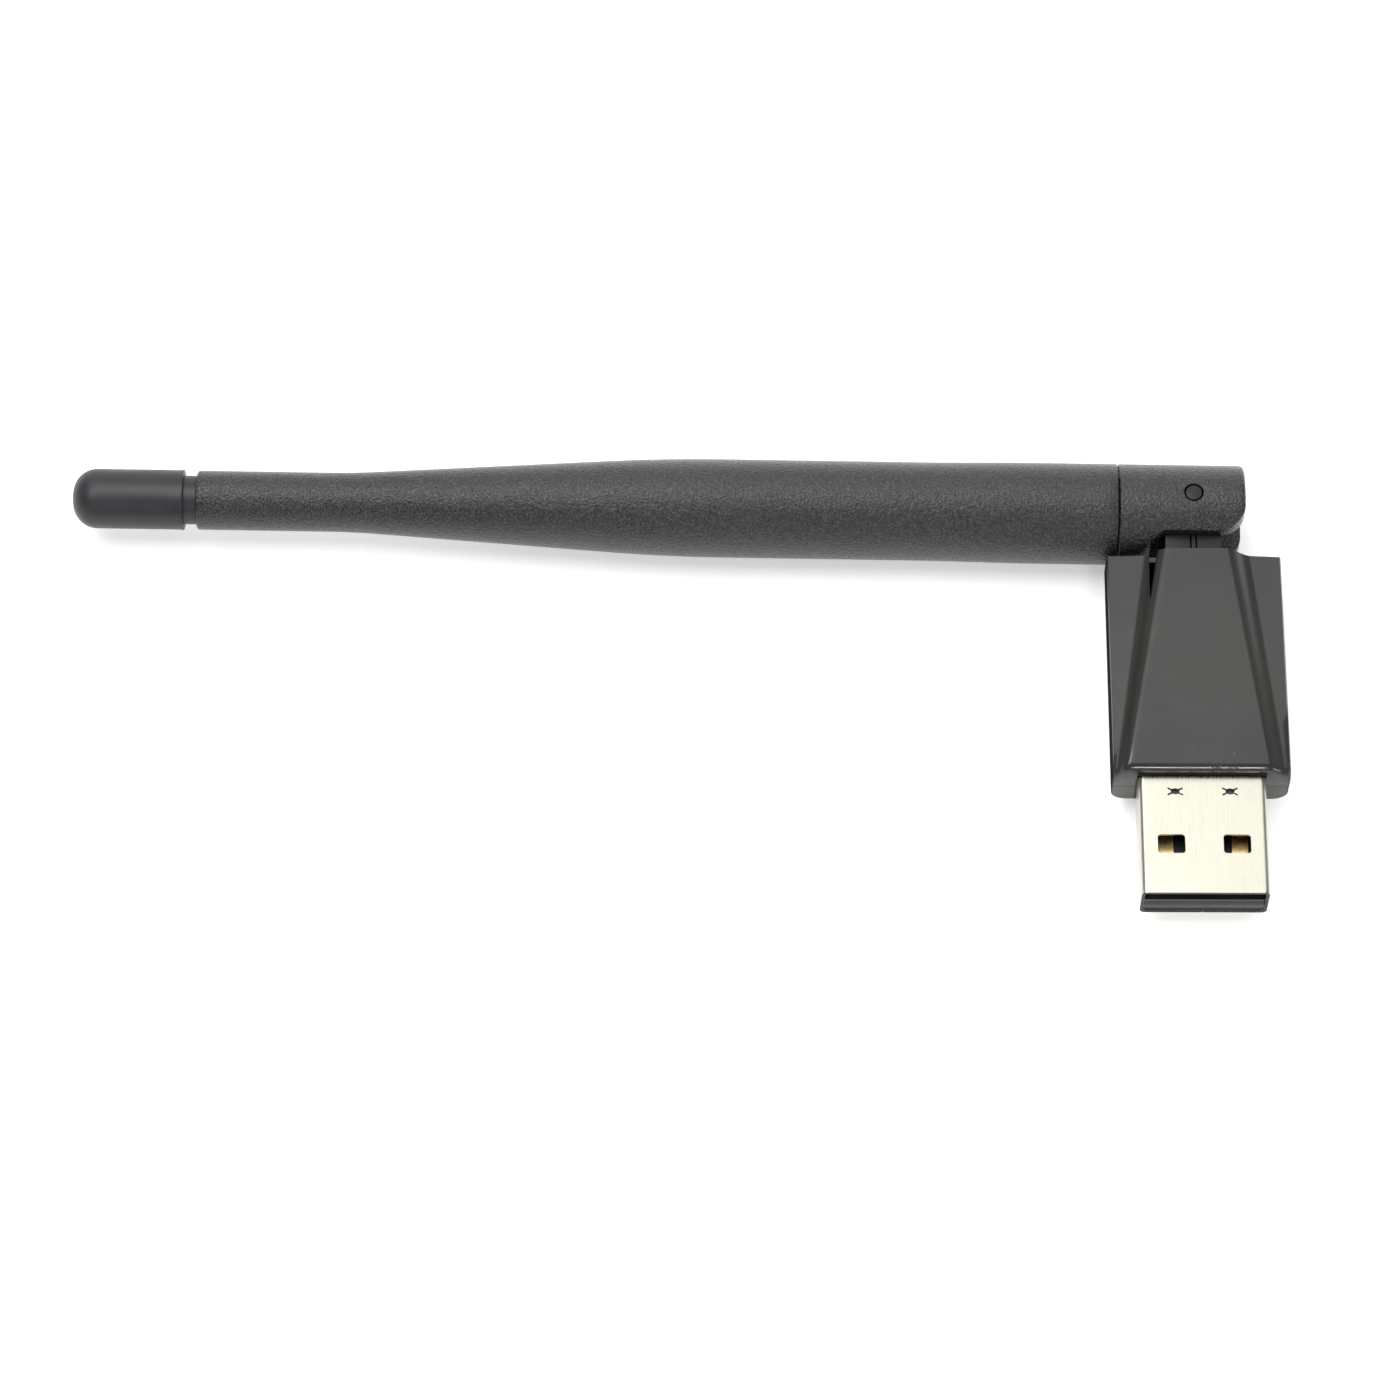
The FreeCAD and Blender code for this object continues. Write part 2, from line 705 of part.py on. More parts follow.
def swivel_knuckle():
    body = new_body("swivel_knuckle")
    flange = new_sketch(body, "flange", "XZ_Plane", f"-({FLANGE_FRONT})")
    disc(flange, "dims.flange_radius")
    prism(body, "Pad", flange, "dims.flange_thickness", backwards=True)
    barrel = new_sketch(body, "barrel", "XZ_Plane", f"-({FLANGE_FRONT})")
    disc(barrel, "dims.barrel_radius")
    face = "dims.housing_length + dims.tongue_gap"
    prism(body, "Pad", barrel, f"{face} - ({FLANGE_FRONT})", backwards=True)
    lug = new_sketch(body, "lug", "XZ_Plane", f"-({FLANGE_FRONT})")
    rim = "dims.flange_radius - 0.05"
    rectangle(lug, "-dims.lug_width/2", "dims.lug_width/2", f"{rim} - dims.lug_height", rim)
    prism(body, "Pad", lug, "dims.lug_depth")
    plate = new_sketch(body, "plate", "XY_Plane")
    half = "dims.tongue_half_width"
    corners = [
        (f"-{half}", face),
        (half, face),
        (half, "dims.hinge_reach"),
        ("0", f"dims.hinge_reach + {half}"),
        (f"-{half}", "dims.hinge_reach"),
    ]
    outline(plate, corners, {2: (half, 1), 3: (half, 1)})
    tongue = prism(body, "Pad", plate, "2*dims.tongue_half_height", both_ways=True)

    def outer_rim(place):
        level = near(place.ZMin, place.ZMax)
        outer = near(abs(place.ZMax), number("dims.tongue_half_height"))
        return level and outer and place.YMax > number(face) + 1

    round_edges(body, tongue, "dims.tongue_round", outer_rim)
    pins = new_sketch(body, "trunnions", "XY_Plane")
    disc(pins, "dims.trunnion_radius", "0", "dims.hinge_reach")
    prism(body, "Pad", pins, "2*dims.trunnion_top", both_ways=True)
    passage = new_sketch(body, "passage", "XZ_Plane", f"-({FLANGE_FRONT})")
    disc(passage, "dims.cable_bore_radius")
    prism(body, "Pocket", passage, f"dims.hinge_reach - ({FLANGE_FRONT})")
    slot = new_sketch(body, "slot", "YZ_Plane")
    rectangle(slot, "dims.hinge_reach - 2.4", "dims.hinge_reach + 3",
              "-dims.cable_slot_half", "dims.cable_slot_half")
    prism(body, "Pocket", slot, "3*dims.tongue_half_width", both_ways=True)
    slits = new_sketch(body, "slits", "XY_Plane")
    for sign in ("-", ""):
        middle = f"{sign}dims.slit_offset"
        rectangle(slits, f"{middle} - dims.slit_width/2", f"{middle} + dims.slit_width/2",
                  f"{face} + dims.slit_margin", "dims.hinge_reach - dims.tongue_half_width/2")
    prism(body, "Pocket", slits, "3*dims.tongue_half_height", both_ways=True)


# ---------------------------------------------------------------- aerial

def hinge_clevis():
    """A round fork with its two ears above and below the swivel's tongue."""
    body = new_body("hinge_clevis")
    lay_along_aerial(body)
    profile = new_sketch(body, "profile", "XY_Plane")
    inner = "dims.fork_bore_radius"
    spigot = "dims.fork_radius - dims.tube_wall - dims.spigot_fit"
    edge = "dims.fork_edge_round"
    corners = [
        ("dims.fork_end", "0"),
        ("dims.fork_end", f"dims.fork_radius - {edge}"),
        (f"dims.fork_end - {edge}", "dims.fork_radius"),
        ("-dims.fork_seam", "dims.fork_radius"),
        ("-dims.fork_seam", spigot),
        ("-dims.fork_spigot_end", spigot),
        ("-dims.fork_spigot_end", inner),
        ("0", inner),
        ("0", "0"),
    ]
    outline(profile, corners, {1: (edge, 1)})
    turn(body, "Revolution", profile)
    gap = new_sketch(body, "gap", "XZ_Plane")
    rectangle(gap, "-dims.fork_slot_reach", "dims.fork_end + 1",
              "-dims.fork_slot_half", "dims.fork_slot_half")
    prism(body, "Pocket", gap, "3*dims.fork_radius", both_ways=True)
    flat = new_sketch(body, "flat", "XY_Plane")
    beyond = "dims.fork_radius + 0.4"
    corner_x = "dims.fork_end - dims.fork_corner"
    corners = [
        ("dims.fork_heel - dims.fork_seam", f"-({beyond})"),
        ("dims.fork_end + 0.5", f"-({beyond})"),
        ("dims.fork_end + 0.5", "dims.fork_corner - dims.fork_flat"),
        ("dims.fork_end", "dims.fork_corner - dims.fork_flat"),
        (corner_x, "-dims.fork_flat"),
        ("-dims.tongue_half_width - 0.12", "-dims.fork_flat"),
    ]
    outline(flat, corners, {3: ("dims.fork_corner", -1)})
    prism(body, "Pocket", flat, "3*dims.fork_radius", both_ways=True)
    holes = new_sketch(body, "holes", "XY_Plane")
    disc(holes, "dims.trunnion_radius + dims.trunnion_play")
    prism(body, "Pocket", holes, "3*dims.fork_radius", both_ways=True)


BULGE_END = "dims.bulge_start + dims.bulge_length"
BULGE_END_RADIUS = "dims.tube_mid_radius - dims.bulge_length*dims.taper_slope/2"
TAPER_END = f"{BULGE_END} + dims.taper_length"
TAPER_END_RADIUS = f"{BULGE_END_RADIUS} - dims.taper_length*dims.taper_slope"
THIN_START = f"{TAPER_END} + dims.hollow_length"
THIN_RADIUS = f"{TAPER_END_RADIUS} - dims.hollow_length*dims.taper_slope/2"


def antenna_tube():
    """A tapering sleeve: thick half, long cone and thin half run into each other."""
    body = new_body("antenna_tube")
    lay_along_aerial(body)
    profile = new_sketch(body, "profile", "XY_Plane")
    start = "dims.fork_seam + dims.seam_gap"
    wall = "dims.tube_wall"
    thin_bore = f"{THIN_RADIUS} - {wall} + 0.15"
    outside = [
        (start, f"dims.fork_radius - {wall}"),
        (start, "dims.fork_radius - 0.12"),
        (f"{start} + 0.12", "dims.fork_radius"),
        ("dims.tube_base_end", "dims.fork_radius"),
        ("dims.tube_mid_start", "dims.tube_mid_radius"),
        ("dims.bulge_start", "dims.tube_mid_radius"),
        (BULGE_END, BULGE_END_RADIUS),
        (TAPER_END, TAPER_END_RADIUS),
        (THIN_START, THIN_RADIUS),
        ("dims.tube_end - dims.tube_end_chamfer", THIN_RADIUS),
        ("dims.tube_end", f"{THIN_RADIUS} - dims.tube_end_chamfer"),
    ]
    inside = [
        ("dims.tube_end", thin_bore),
        (THIN_START, thin_bore),
        (BULGE_END, f"{BULGE_END_RADIUS} - {wall}"),
        ("dims.tube_mid_start", f"dims.tube_mid_radius - {wall}"),
        ("dims.fork_spigot_end + 1", f"dims.fork_radius - {wall}"),
    ]
    corners = [(f"-({along})", out) for along, out in outside + inside]
    bulge_radius = "dims.bulge_length/dims.taper_slope"
    hollow_radius = "dims.hollow_length/dims.taper_slope"
    outline(profile, corners, {5: (bulge_radius, 1), 7: (hollow_radius, -1)})
    turn(body, "Revolution", profile)


def tip_cap():
    """A round-nosed cap on a neck, with a spigot inside the tube."""
    body = new_body("tip_cap")
    lay_along_aerial(body)
    profile = new_sketch(body, "profile", "XY_Plane")
    nose = "dims.cap_nose_round"
    edge = "dims.cap_edge_round"
    bore = f"{THIN_RADIUS} - dims.tube_wall + 0.15 - dims.spigot_fit"
    stations = [
        ("dims.cap_spigot_start", "0"),
        ("dims.cap_spigot_start", bore),
        ("dims.tube_end", bore),
        ("dims.tube_end", "dims.neck_radius"),
        ("dims.cap_start", "dims.neck_radius"),
        ("dims.cap_start", f"dims.cap_radius - {edge}"),
        (f"dims.cap_start + {edge}", "dims.cap_radius"),
        (f"dims.cap_end - {nose}", "dims.cap_radius"),
        ("dims.cap_end", f"dims.cap_radius - {nose}"),
        ("dims.cap_end", "0"),
    ]
    corners = [(f"-({along})", out) for along, out in stations]
    outline(profile, corners, {5: (edge, -1), 7: (nose, 1)})
    turn(body, "Revolution", profile)


def lathe(label, stations):
    """A piece of the aerial turned from (station, radius) corners."""
    body = new_body(label)
    lay_along_aerial(body)
    profile = new_sketch(body, "profile", "XY_Plane")
    outline(profile, [(f"-({along})", out) for along, out in stations])
    turn(body, "Revolution", profile)


def ring(inner, outer, start, end):
    """Corners of a plain tube's half section."""
    return [(start, inner), (start, outer), (end, outer), (end, inner)]


def radiator():
    """The cable's far end: brass sleeve, core, wire and shrunk jacket."""
    cable = "dims.cable_radius"
    lathe("coax_antenna", ring("0", cable, "dims.cable_radius + 0.06", "dims.sleeve_end"))
    sheet_metal = "dims.sleeve_sheet"
    sleeve = [
        ("dims.sleeve_start", f"dims.sleeve_radius - {sheet_metal}"),
        ("dims.sleeve_start", "dims.sleeve_radius"),
        ("dims.sleeve_end", "dims.sleeve_radius"),
        ("dims.sleeve_end", cable),
        (f"dims.sleeve_end - {sheet_metal}", cable),
        (f"dims.sleeve_end - {sheet_metal}", f"dims.sleeve_radius - {sheet_metal}"),
    ]
    lathe("sleeve_radiator", sleeve)
    lathe("core_insulation", ring("dims.wire_radius", "dims.core_radius", "dims.sleeve_end", "dims.core_end"))
    lathe("radiator_wire", ring("0", "dims.wire_radius", "dims.sleeve_end", "dims.wire_end"))
    outer = "dims.sleeve_radius + dims.shrink_sheet"
    lathe("shrink_jacket", ring("dims.sleeve_radius", outer, "dims.shrink_start", "dims.sleeve_end + 0.5"))


# ---------------------------------------------------------------- build

SUB_PARTS = [
    "top_shell", "bottom_shell", "usb_shell", "usb_insulator", "usb_contacts",
    "circuit_board", "wifi_chip", "crystal", "voltage_regulator", "power_inductor",
    "chip_capacitors", "chip_resistors", "coax_housing", "coax_solder",
    "swivel_knuckle", "coax_stem",
    "hinge_clevis", "antenna_tube", "tip_cap", "coax_antenna", "sleeve_radiator",
    "core_insulation", "radiator_wire", "shrink_jacket",
]


def check_objects():
    """Stops on any object that failed to compute, or that cut nothing away."""
    for thing in doc.Objects:
        if "Invalid" in thing.State or "Error" in thing.State:
            raise RuntimeError(f"{thing.Name} failed: {thing.State}")
        if thing.TypeId in ("PartDesign::Pocket", "PartDesign::SubtractiveLoft"):
            before = thing.BaseFeature.Shape.Volume
            if not 0.01 < thing.Shape.Volume < before - 0.01:
                raise RuntimeError(f"{thing.Name} cut {before - thing.Shape.Volume:.3f} mm3")


def export():
    os.makedirs("parts", exist_ok=True)
    shapes = {}
    for name in SUB_PARTS:
        shape = doc.getObjectsByLabel(name)[0].Shape
        if shape.isNull() or not shape.isValid():
            raise RuntimeError(f"{name} has no valid shape")
        shapes[name] = shape
    for name, shape in shapes.items():
        shape.exportStep(f"parts/{name}.step")
        print(f"{name}: {len(shape.Solids)} solid(s), {shape.Volume:.2f} mm3")


fill_sheet()
top_shell()
bottom_shell()
usb_shell()
usb_insulator()
usb_contacts()
circuit_board()
wifi_chip()
crystal()
voltage_regulator()
power_inductor()
chip_capacitors()
chip_resistors()
housing_cable()
coax_solder()
swivel_knuckle()
coax_stem()
hinge_clevis()
antenna_tube()
tip_cap()
radiator()
doc.recompute()
check_objects()
export()
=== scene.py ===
import json
import math

import bmesh
import bpy
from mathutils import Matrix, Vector


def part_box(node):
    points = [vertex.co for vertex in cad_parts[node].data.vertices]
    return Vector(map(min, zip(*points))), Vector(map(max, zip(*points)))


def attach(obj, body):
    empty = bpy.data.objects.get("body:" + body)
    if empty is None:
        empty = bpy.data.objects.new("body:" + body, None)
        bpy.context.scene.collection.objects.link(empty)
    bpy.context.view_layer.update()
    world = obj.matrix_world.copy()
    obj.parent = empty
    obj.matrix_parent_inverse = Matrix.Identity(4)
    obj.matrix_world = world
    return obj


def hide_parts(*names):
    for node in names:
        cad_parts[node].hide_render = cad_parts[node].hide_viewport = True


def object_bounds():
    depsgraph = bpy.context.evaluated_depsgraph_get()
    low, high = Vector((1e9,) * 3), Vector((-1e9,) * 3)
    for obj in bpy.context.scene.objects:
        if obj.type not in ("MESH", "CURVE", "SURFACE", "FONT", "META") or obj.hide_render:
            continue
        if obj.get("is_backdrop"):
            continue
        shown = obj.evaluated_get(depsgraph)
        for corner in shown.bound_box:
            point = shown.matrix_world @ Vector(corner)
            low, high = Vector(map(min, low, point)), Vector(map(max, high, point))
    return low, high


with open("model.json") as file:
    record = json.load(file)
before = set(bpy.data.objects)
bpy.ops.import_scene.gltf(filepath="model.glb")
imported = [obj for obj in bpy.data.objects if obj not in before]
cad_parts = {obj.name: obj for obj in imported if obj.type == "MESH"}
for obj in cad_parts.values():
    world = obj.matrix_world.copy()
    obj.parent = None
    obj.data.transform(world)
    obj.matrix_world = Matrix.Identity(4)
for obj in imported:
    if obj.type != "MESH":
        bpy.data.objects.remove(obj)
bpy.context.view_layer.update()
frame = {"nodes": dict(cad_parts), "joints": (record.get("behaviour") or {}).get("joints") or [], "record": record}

# The stick adapter lies on a table: plug towards -Y, aerial towards -X.
# Lengths are in metres; MM turns a length in millimetres into metres.
MM = 0.001


# ------------------------------------------------------------ modelling aids

def deselect():
    bpy.ops.object.select_all(action="DESELECT")


def start_piece(name):
    """Names the primitive just added and opens it for editing."""
    piece = bpy.context.object
    piece.name = name
    piece.data.name = name
    bpy.ops.object.transform_apply(location=True, rotation=True, scale=True)
    bpy.ops.object.mode_set(mode="EDIT")
    bpy.ops.mesh.select_mode(type="VERT")
    return piece


def cube(name, low, high):
    """A box between two corners, in millimetres, open for editing."""
    deselect()
    middle = [(a + b) / 2 * MM for a, b in zip(low, high)]
    size = [(b - a) * MM for a, b in zip(low, high)]
    bpy.ops.mesh.primitive_cube_add(size=1, location=middle)
    bpy.context.object.scale = size
    return start_piece(name)


def cylinder(name, radius, low, high, axis, sides=48):
    """A cylinder along an axis letter between two points, in millimetres."""
    deselect()
    low = Vector(low) * MM
    high = Vector(high) * MM
    turns = {"x": (0, math.pi / 2, 0), "y": (math.pi / 2, 0, 0), "z": (0, 0, 0)}
    bpy.ops.mesh.primitive_cylinder_add(
        vertices=sides, radius=radius * MM, depth=(high - low).length,
        location=(low + high) / 2, rotation=turns[axis])
    return start_piece(name)


def pick(piece, chosen, mode="VERT"):
    """Selects what chosen() holds for.  It is given, in millimetres, a
    vertex's place, or an edge's middle and direction, or a face's centre and
    normal."""
    bpy.ops.mesh.select_all(action="DESELECT")
    bpy.ops.mesh.select_mode(type=mode)
    mesh = bmesh.from_edit_mesh(piece.data)
    if mode == "VERT":
        for vert in mesh.verts:
            vert.select = bool(chosen(vert.co / MM))
    elif mode == "EDGE":
        for edge in mesh.edges:
            middle = (edge.verts[0].co + edge.verts[1].co) / 2
            along = (edge.verts[1].co - edge.verts[0].co).normalized()
            edge.select = bool(chosen(middle / MM, along))
    else:
        for face in mesh.faces:
            face.select = bool(chosen(face.calc_center_median() / MM, face.normal))
    mesh.select_flush_mode()
    bmesh.update_edit_mesh(piece.data)


def cut_across(point, normal):
    """Bisects all of the open piece with a plane; point is in millimetres."""
    bpy.ops.mesh.select_all(action="SELECT")
    bpy.ops.mesh.bisect(plane_co=Vector(point) * MM, plane_no=normal)


def shift(x=0.0, y=0.0, z=0.0):
    """Moves what is selected, in millimetres."""
    bpy.ops.transform.translate(value=(x * MM, y * MM, z * MM))


def turn_all(axis, degrees, centre):
    """Turns all of the open piece about a centre in millimetres."""
    bpy.ops.mesh.select_all(action="SELECT")
    bpy.ops.transform.rotate(value=math.radians(degrees), orient_axis=axis,
                             center_override=Vector(centre) * MM)


def close_edit():
    """Merges doubled corners, turns the faces outwards and ends editing."""
    bpy.ops.mesh.select_all(action="SELECT")
    bpy.ops.mesh.remove_doubles(threshold=1e-6)
    bpy.ops.mesh.normals_make_consistent(inside=False)
    bpy.ops.object.mode_set(mode="OBJECT")


def make_active(piece):
    deselect()
    piece.select_set(True)
    bpy.context.view_layer.objects.active = piece


def weld(piece, gap=0.02):
    """Merges the slivers that rounding leaves, so that a further cut closes."""
    make_active(piece)
    bpy.ops.object.mode_set(mode="EDIT")
    bpy.ops.mesh.select_all(action="SELECT")
    bpy.ops.mesh.remove_doubles(threshold=gap * MM)
    bpy.ops.object.mode_set(mode="OBJECT")


def apply_modifier(piece, kind, **settings):
    """Adds a modifier with its settings and applies it."""
    make_active(piece)
    modifier = piece.modifiers.new(kind.lower(), kind)
    for key, setting in settings.items():
        setattr(modifier, key, setting)
    bpy.ops.object.modifier_apply(modifier=modifier.name)


def carve(piece, cutter, operation="DIFFERENCE"):
    """Cuts one piece with another and removes the cutter."""
    apply_modifier(piece, "BOOLEAN", object=cutter, operation=operation, solver="EXACT")
    bpy.data.objects.remove(cutter, do_unlink=True)


def bevel(piece, width, segments, angle):
    """Rounds every edge sharper than the angle; width in millimetres."""
    apply_modifier(piece, "BEVEL", width=width * MM, segments=segments, limit_method="ANGLE",
                   angle_limit=math.radians(angle), miter_outer="MITER_ARC")


def smooth(piece, angle):
    """Smooth shading across edges blunter than the angle in degrees."""
    make_active(piece)
    bpy.ops.object.shade_smooth_by_angle(angle=math.radians(angle))


def shade(piece, angle):
    """Smooth shading that leaves the large flat faces flat."""
    smooth(piece, angle)
    apply_modifier(piece, "WEIGHTED_NORMAL", keep_sharp=True)


def finish_piece(piece, material, body, slot, *nodes):
    """Gives a piece its finish, its body, and the nodes that it stands for."""
    piece.data.materials.clear()
    piece.data.materials.append(material)
    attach(piece, body)
    if nodes:
        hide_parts(*nodes)


# ------------------------------------------------------------ materials

class Finish:
    """A material's nodes, added one at a time."""

    def __init__(self, name, colour, roughness, sockets=()):
        self.material = bpy.data.materials.new(name)
        self.material.use_nodes = True
        self.nodes = self.material.node_tree.nodes
        self.links = self.material.node_tree.links
        self.shader = self.nodes["Principled BSDF"]
        self.shader.inputs["Base Color"].default_value = (*colour, 1)
        self.shader.inputs["Roughness"].default_value = roughness
        for socket, setting in sockets:
            self.shader.inputs[socket].default_value = setting
        self.place = self.nodes.new("ShaderNodeTexCoord").outputs["Object"]

    def noise(self, scale, detail=2.0, rough=0.5, stretch=None):
        """Fractal noise in the piece's own space; scale is per metre."""
        node = self.nodes.new("ShaderNodeTexNoise")
        node.inputs["Scale"].default_value = scale
        node.inputs["Detail"].default_value = detail
        node.inputs["Roughness"].default_value = rough
        source = self.place
        if stretch:
            mapping = self.nodes.new("ShaderNodeMapping")
            mapping.inputs["Scale"].default_value = stretch
            self.links.new(source, mapping.inputs["Vector"])
            source = mapping.outputs["Vector"]
        self.links.new(source, node.inputs["Vector"])
        return node.outputs["Fac"]

    def ramp(self, factor, low, high, first, last):
        """Maps factor from low..high to first..last."""
        node = self.nodes.new("ShaderNodeMapRange")
        node.inputs["From Min"].default_value = low
        node.inputs["From Max"].default_value = high
        node.inputs["To Min"].default_value = first
        node.inputs["To Max"].default_value = last
        self.links.new(factor, node.inputs["Value"])
        return node.outputs["Result"]

    def tint(self, factor, first, last, low=0.35, high=0.65):
        """A colour between two, by factor, into the base colour."""
        node = self.nodes.new("ShaderNodeValToRGB")
        node.color_ramp.elements[0].position = low
        node.color_ramp.elements[0].color = (*first, 1)
        node.color_ramp.elements[1].position = high
        node.color_ramp.elements[1].color = (*last, 1)
        self.links.new(factor, node.inputs["Fac"])
        self.links.new(node.outputs["Color"], self.shader.inputs["Base Color"])

    def combine(self, operation, *factors):
        """A maths node's result for one or two factors."""
        node = self.nodes.new("ShaderNodeMath")
        node.operation = operation
        for socket, factor in zip(node.inputs, factors):
            self.links.new(factor, socket)
        return node.outputs["Value"]

    def across(self, axis):
        """How far a point lies from the object's middle plane along an axis."""
        split = self.nodes.new("ShaderNodeSeparateXYZ")
        self.links.new(self.place, split.inputs["Vector"])
        return self.combine("ABSOLUTE", split.outputs[axis])

    def both(self, first, second):
        """High only where both factors are."""
        return self.combine("MULTIPLY", first, second)

    def either(self, first, second):
        """The higher of two factors."""
        return self.combine("MAXIMUM", first, second)

    def drive(self, socket, factor):
        """Lets a factor set one of the shader's sockets."""
        self.links.new(factor, self.shader.inputs[socket])

    def roughen(self, factor, low, high, first, last):
        """Roughness from first to last as factor goes from low to high."""
        self.drive("Roughness", self.ramp(factor, low, high, first, last))

    def bump(self, height, depth, strength=1.0):
        """Relief of a depth in metres; further calls add to it."""
        node = self.nodes.new("ShaderNodeBump")
        node.inputs["Distance"].default_value = depth
        node.inputs["Strength"].default_value = strength
        self.links.new(height, node.inputs["Height"])
        socket = self.shader.inputs["Normal"]
        if socket.links:
            self.links.new(socket.links[0].from_socket, node.inputs["Normal"])
        self.links.new(node.outputs["Normal"], socket)


def gloss_black():
    """Polished moulded black, faintly wavy, with handling marks behind the
    panel's front edge.  Its reflection is taken out on the outer side walls
    and on the face just above the plug: painted shade that keeps them dark."""
    finish = Finish("gloss_black_moulding", (0.03, 0.03, 0.029), 0.12)
    finish.roughen(finish.noise(260, 5, 0.6), 0.35, 0.7, 0.16, 0.26)
    finish.tint(finish.noise(90, 3), (0.021, 0.021, 0.02), (0.027, 0.027, 0.025))
    # painted shade: the reflection is switched off on the outer side walls and on the face above the plug, so they
    # stay dark
    off_side = finish.ramp(finish.across("X"), 8.15 * MM, 8.33 * MM, 1, 0)
    off_front = finish.ramp(finish.across("Y"), 0.04 * MM, 0.07 * MM, 0, 1)
    off_plug = finish.ramp(finish.across("X"), 6.0 * MM, 6.2 * MM, 0, 1)
    reflection_outside_painted_shade = finish.both(off_side, finish.either(off_front, off_plug))
    finish.drive("Specular IOR Level", finish.ramp(reflection_outside_painted_shade, 0, 1, 0, 0.5))
    finish.bump(finish.noise(180, 2), 0.00004, 0.35)
    marks = finish.ramp(finish.noise(700, 3, 0.6), 0.58, 0.7, 0, 1)
    near_edge = finish.ramp(finish.across("Y"), 1.2 * MM, 3.4 * MM, 1, 0)
    near_middle = finish.ramp(finish.across("X"), 2.0 * MM, 4.2 * MM, 1, 0)
    finish.bump(finish.both(marks, finish.both(near_edge, near_middle)), 0.00006, 0.6)
    return finish.material


def grained_black():
    """Spark-eroded mould grain on a cool black."""
    finish = Finish("grained_black_moulding", (0.03, 0.031, 0.034), 0.5)
    grain = finish.noise(4200, 2, 0.6)
    finish.tint(grain, (0.006, 0.0065, 0.007), (0.03, 0.031, 0.033), 0.38, 0.68)
    finish.roughen(grain, 0.3, 0.7, 0.3, 0.2)
    finish.bump(grain, 0.00012, 1.0)
    return finish.material


def satin_black(name, dark, light, shine):
    """A smooth half-matt black between two tones."""
    finish = Finish(name, dark, 0.4, [("Specular IOR Level", shine)])
    cloud = finish.noise(300, 3)
    finish.tint(cloud, dark, light)
    finish.roughen(cloud, 0.3, 0.7, 0.36, 0.46)
    finish.bump(finish.noise(5200, 2), 0.00002, 0.3)
    return finish.material


METALLIC = ("Metallic", 1.0)


def plated_steel():
    """Bright nickel plate with fine rolling lines along the sheet; the sheet's
    cut end at the plug's mouth is painted near black, a painted shade."""
    plate = (0.515, 0.502, 0.425)
    finish = Finish("nickel_plate", plate, 0.3, [METALLIC])
    lines = finish.noise(900, 4, 0.6, (6, 0.35, 6))
    finish.roughen(lines, 0.3, 0.7, 0.24, 0.36)
    finish.bump(lines, 0.00001, 0.3)
    # painted shade: the mouth's cut end is turned near black
    painted_shade_mouth = finish.ramp(finish.across("Y"), 11.92 * MM, 11.97 * MM, 0, 1)
    finish.tint(painted_shade_mouth, plate, (0.012, 0.012, 0.012), 0, 1)
    return finish.material


def gilt():
    """Thin gold on the contacts."""
    finish = Finish("gold_flash", (0.93, 0.66, 0.3), 0.3, [METALLIC])
    finish.tint(finish.noise(900, 3), (0.9, 0.62, 0.28), (0.98, 0.74, 0.36))
    finish.roughen(finish.noise(2500, 3), 0.3, 0.7, 0.25, 0.42)
    return finish.material


def moulded_insulator():
    """The blue-black moulding that carries the contacts."""
    finish = Finish("insulator_moulding", (0.01, 0.011, 0.014), 0.38)
    finish.tint(finish.noise(700, 3), (0.007, 0.008, 0.011), (0.014, 0.015, 0.02))
    finish.bump(finish.noise(4000, 2), 0.00002, 0.3)
    return finish.material


def plain(name, dark, light, roughness, metallic=0.0, scale=1500):
    """A two-tone finish for a piece inside the housing or the aerial."""
    finish = Finish(name, dark, roughness, [("Metallic", metallic)])
    speckle = finish.noise(scale, 3)
    finish.tint(speckle, dark, light)
    finish.roughen(speckle, 0.3, 0.7, roughness * 0.85, min(1.0, roughness * 1.15))
    return finish.material


# ------------------------------------------------------------ stage

def table_top():
    """A wide pale floor a hair below the lowest piece."""
    deselect()
    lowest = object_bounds()[0][2]
    bpy.ops.mesh.primitive_plane_add(size=6, location=(0, 0, lowest - 0.05 * MM))
    floor = bpy.context.object
    floor.name = "table_top"
    glow = [("Emission Strength", 0.41), ("Emission Color", (1, 1, 1, 1))]
    finish = Finish("pale_table", (0.9, 0.9, 0.9), 0.6, glow)
    finish.tint(finish.noise(40, 2), (0.89, 0.89, 0.89), (0.91, 0.91, 0.91))
    floor.data.materials.append(finish.material)
    floor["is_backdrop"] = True


def softbox(name, place, aim, size, power):
    """A rectangular lamp at a place, turned to its aim; size in metres."""
    light = bpy.data.lights.new(name, "AREA")
    light.shape = "RECTANGLE"
    light.size, light.size_y = size
    light.energy = power
    lamp = bpy.data.objects.new(name, light)
    bpy.context.collection.objects.link(lamp)
    lamp.location = place
    away = Vector(aim) - Vector(place)
    lamp.rotation_euler = away.to_track_quat("-Z", "Y").to_euler()


def studio():
    """Even air light, a big box above and behind, a lower one at the back, a
    strip over the aerial, and two small windows for the edges' bright lines."""
    world = bpy.data.worlds.new("studio_air")
    bpy.context.scene.world = world
    world.use_nodes = True
    air = world.node_tree.nodes["Background"].inputs
    air["Color"].default_value = (1, 1, 1, 1)
    air["Strength"].default_value = 0.33
    softbox("overhead_softbox", (-0.05, 0.3, 0.7), (-0.05, 0.12, 0), (1.1, 1.0), 4.4)
    softbox("rear_softbox", (-0.05, 0.95, 0.3), (-0.05, 0.0, 0), (1.4, 0.5), 2.6)
    softbox("zenith_strip", (-0.3, 0.07, 0.75), (-0.2, 0.0, 0), (0.64, 0.24), 3.2)
    softbox("front_window", (0.06, -0.6, 0.4), (0.0, 0.0, 0), (0.045, 0.2), 1.1)
    softbox("side_window", (0.6, -0.3, 0.12), (0.0, 0.02, 0), (0.12, 0.1), 0.5)
    bpy.context.scene.view_settings.view_transform = "Standard"


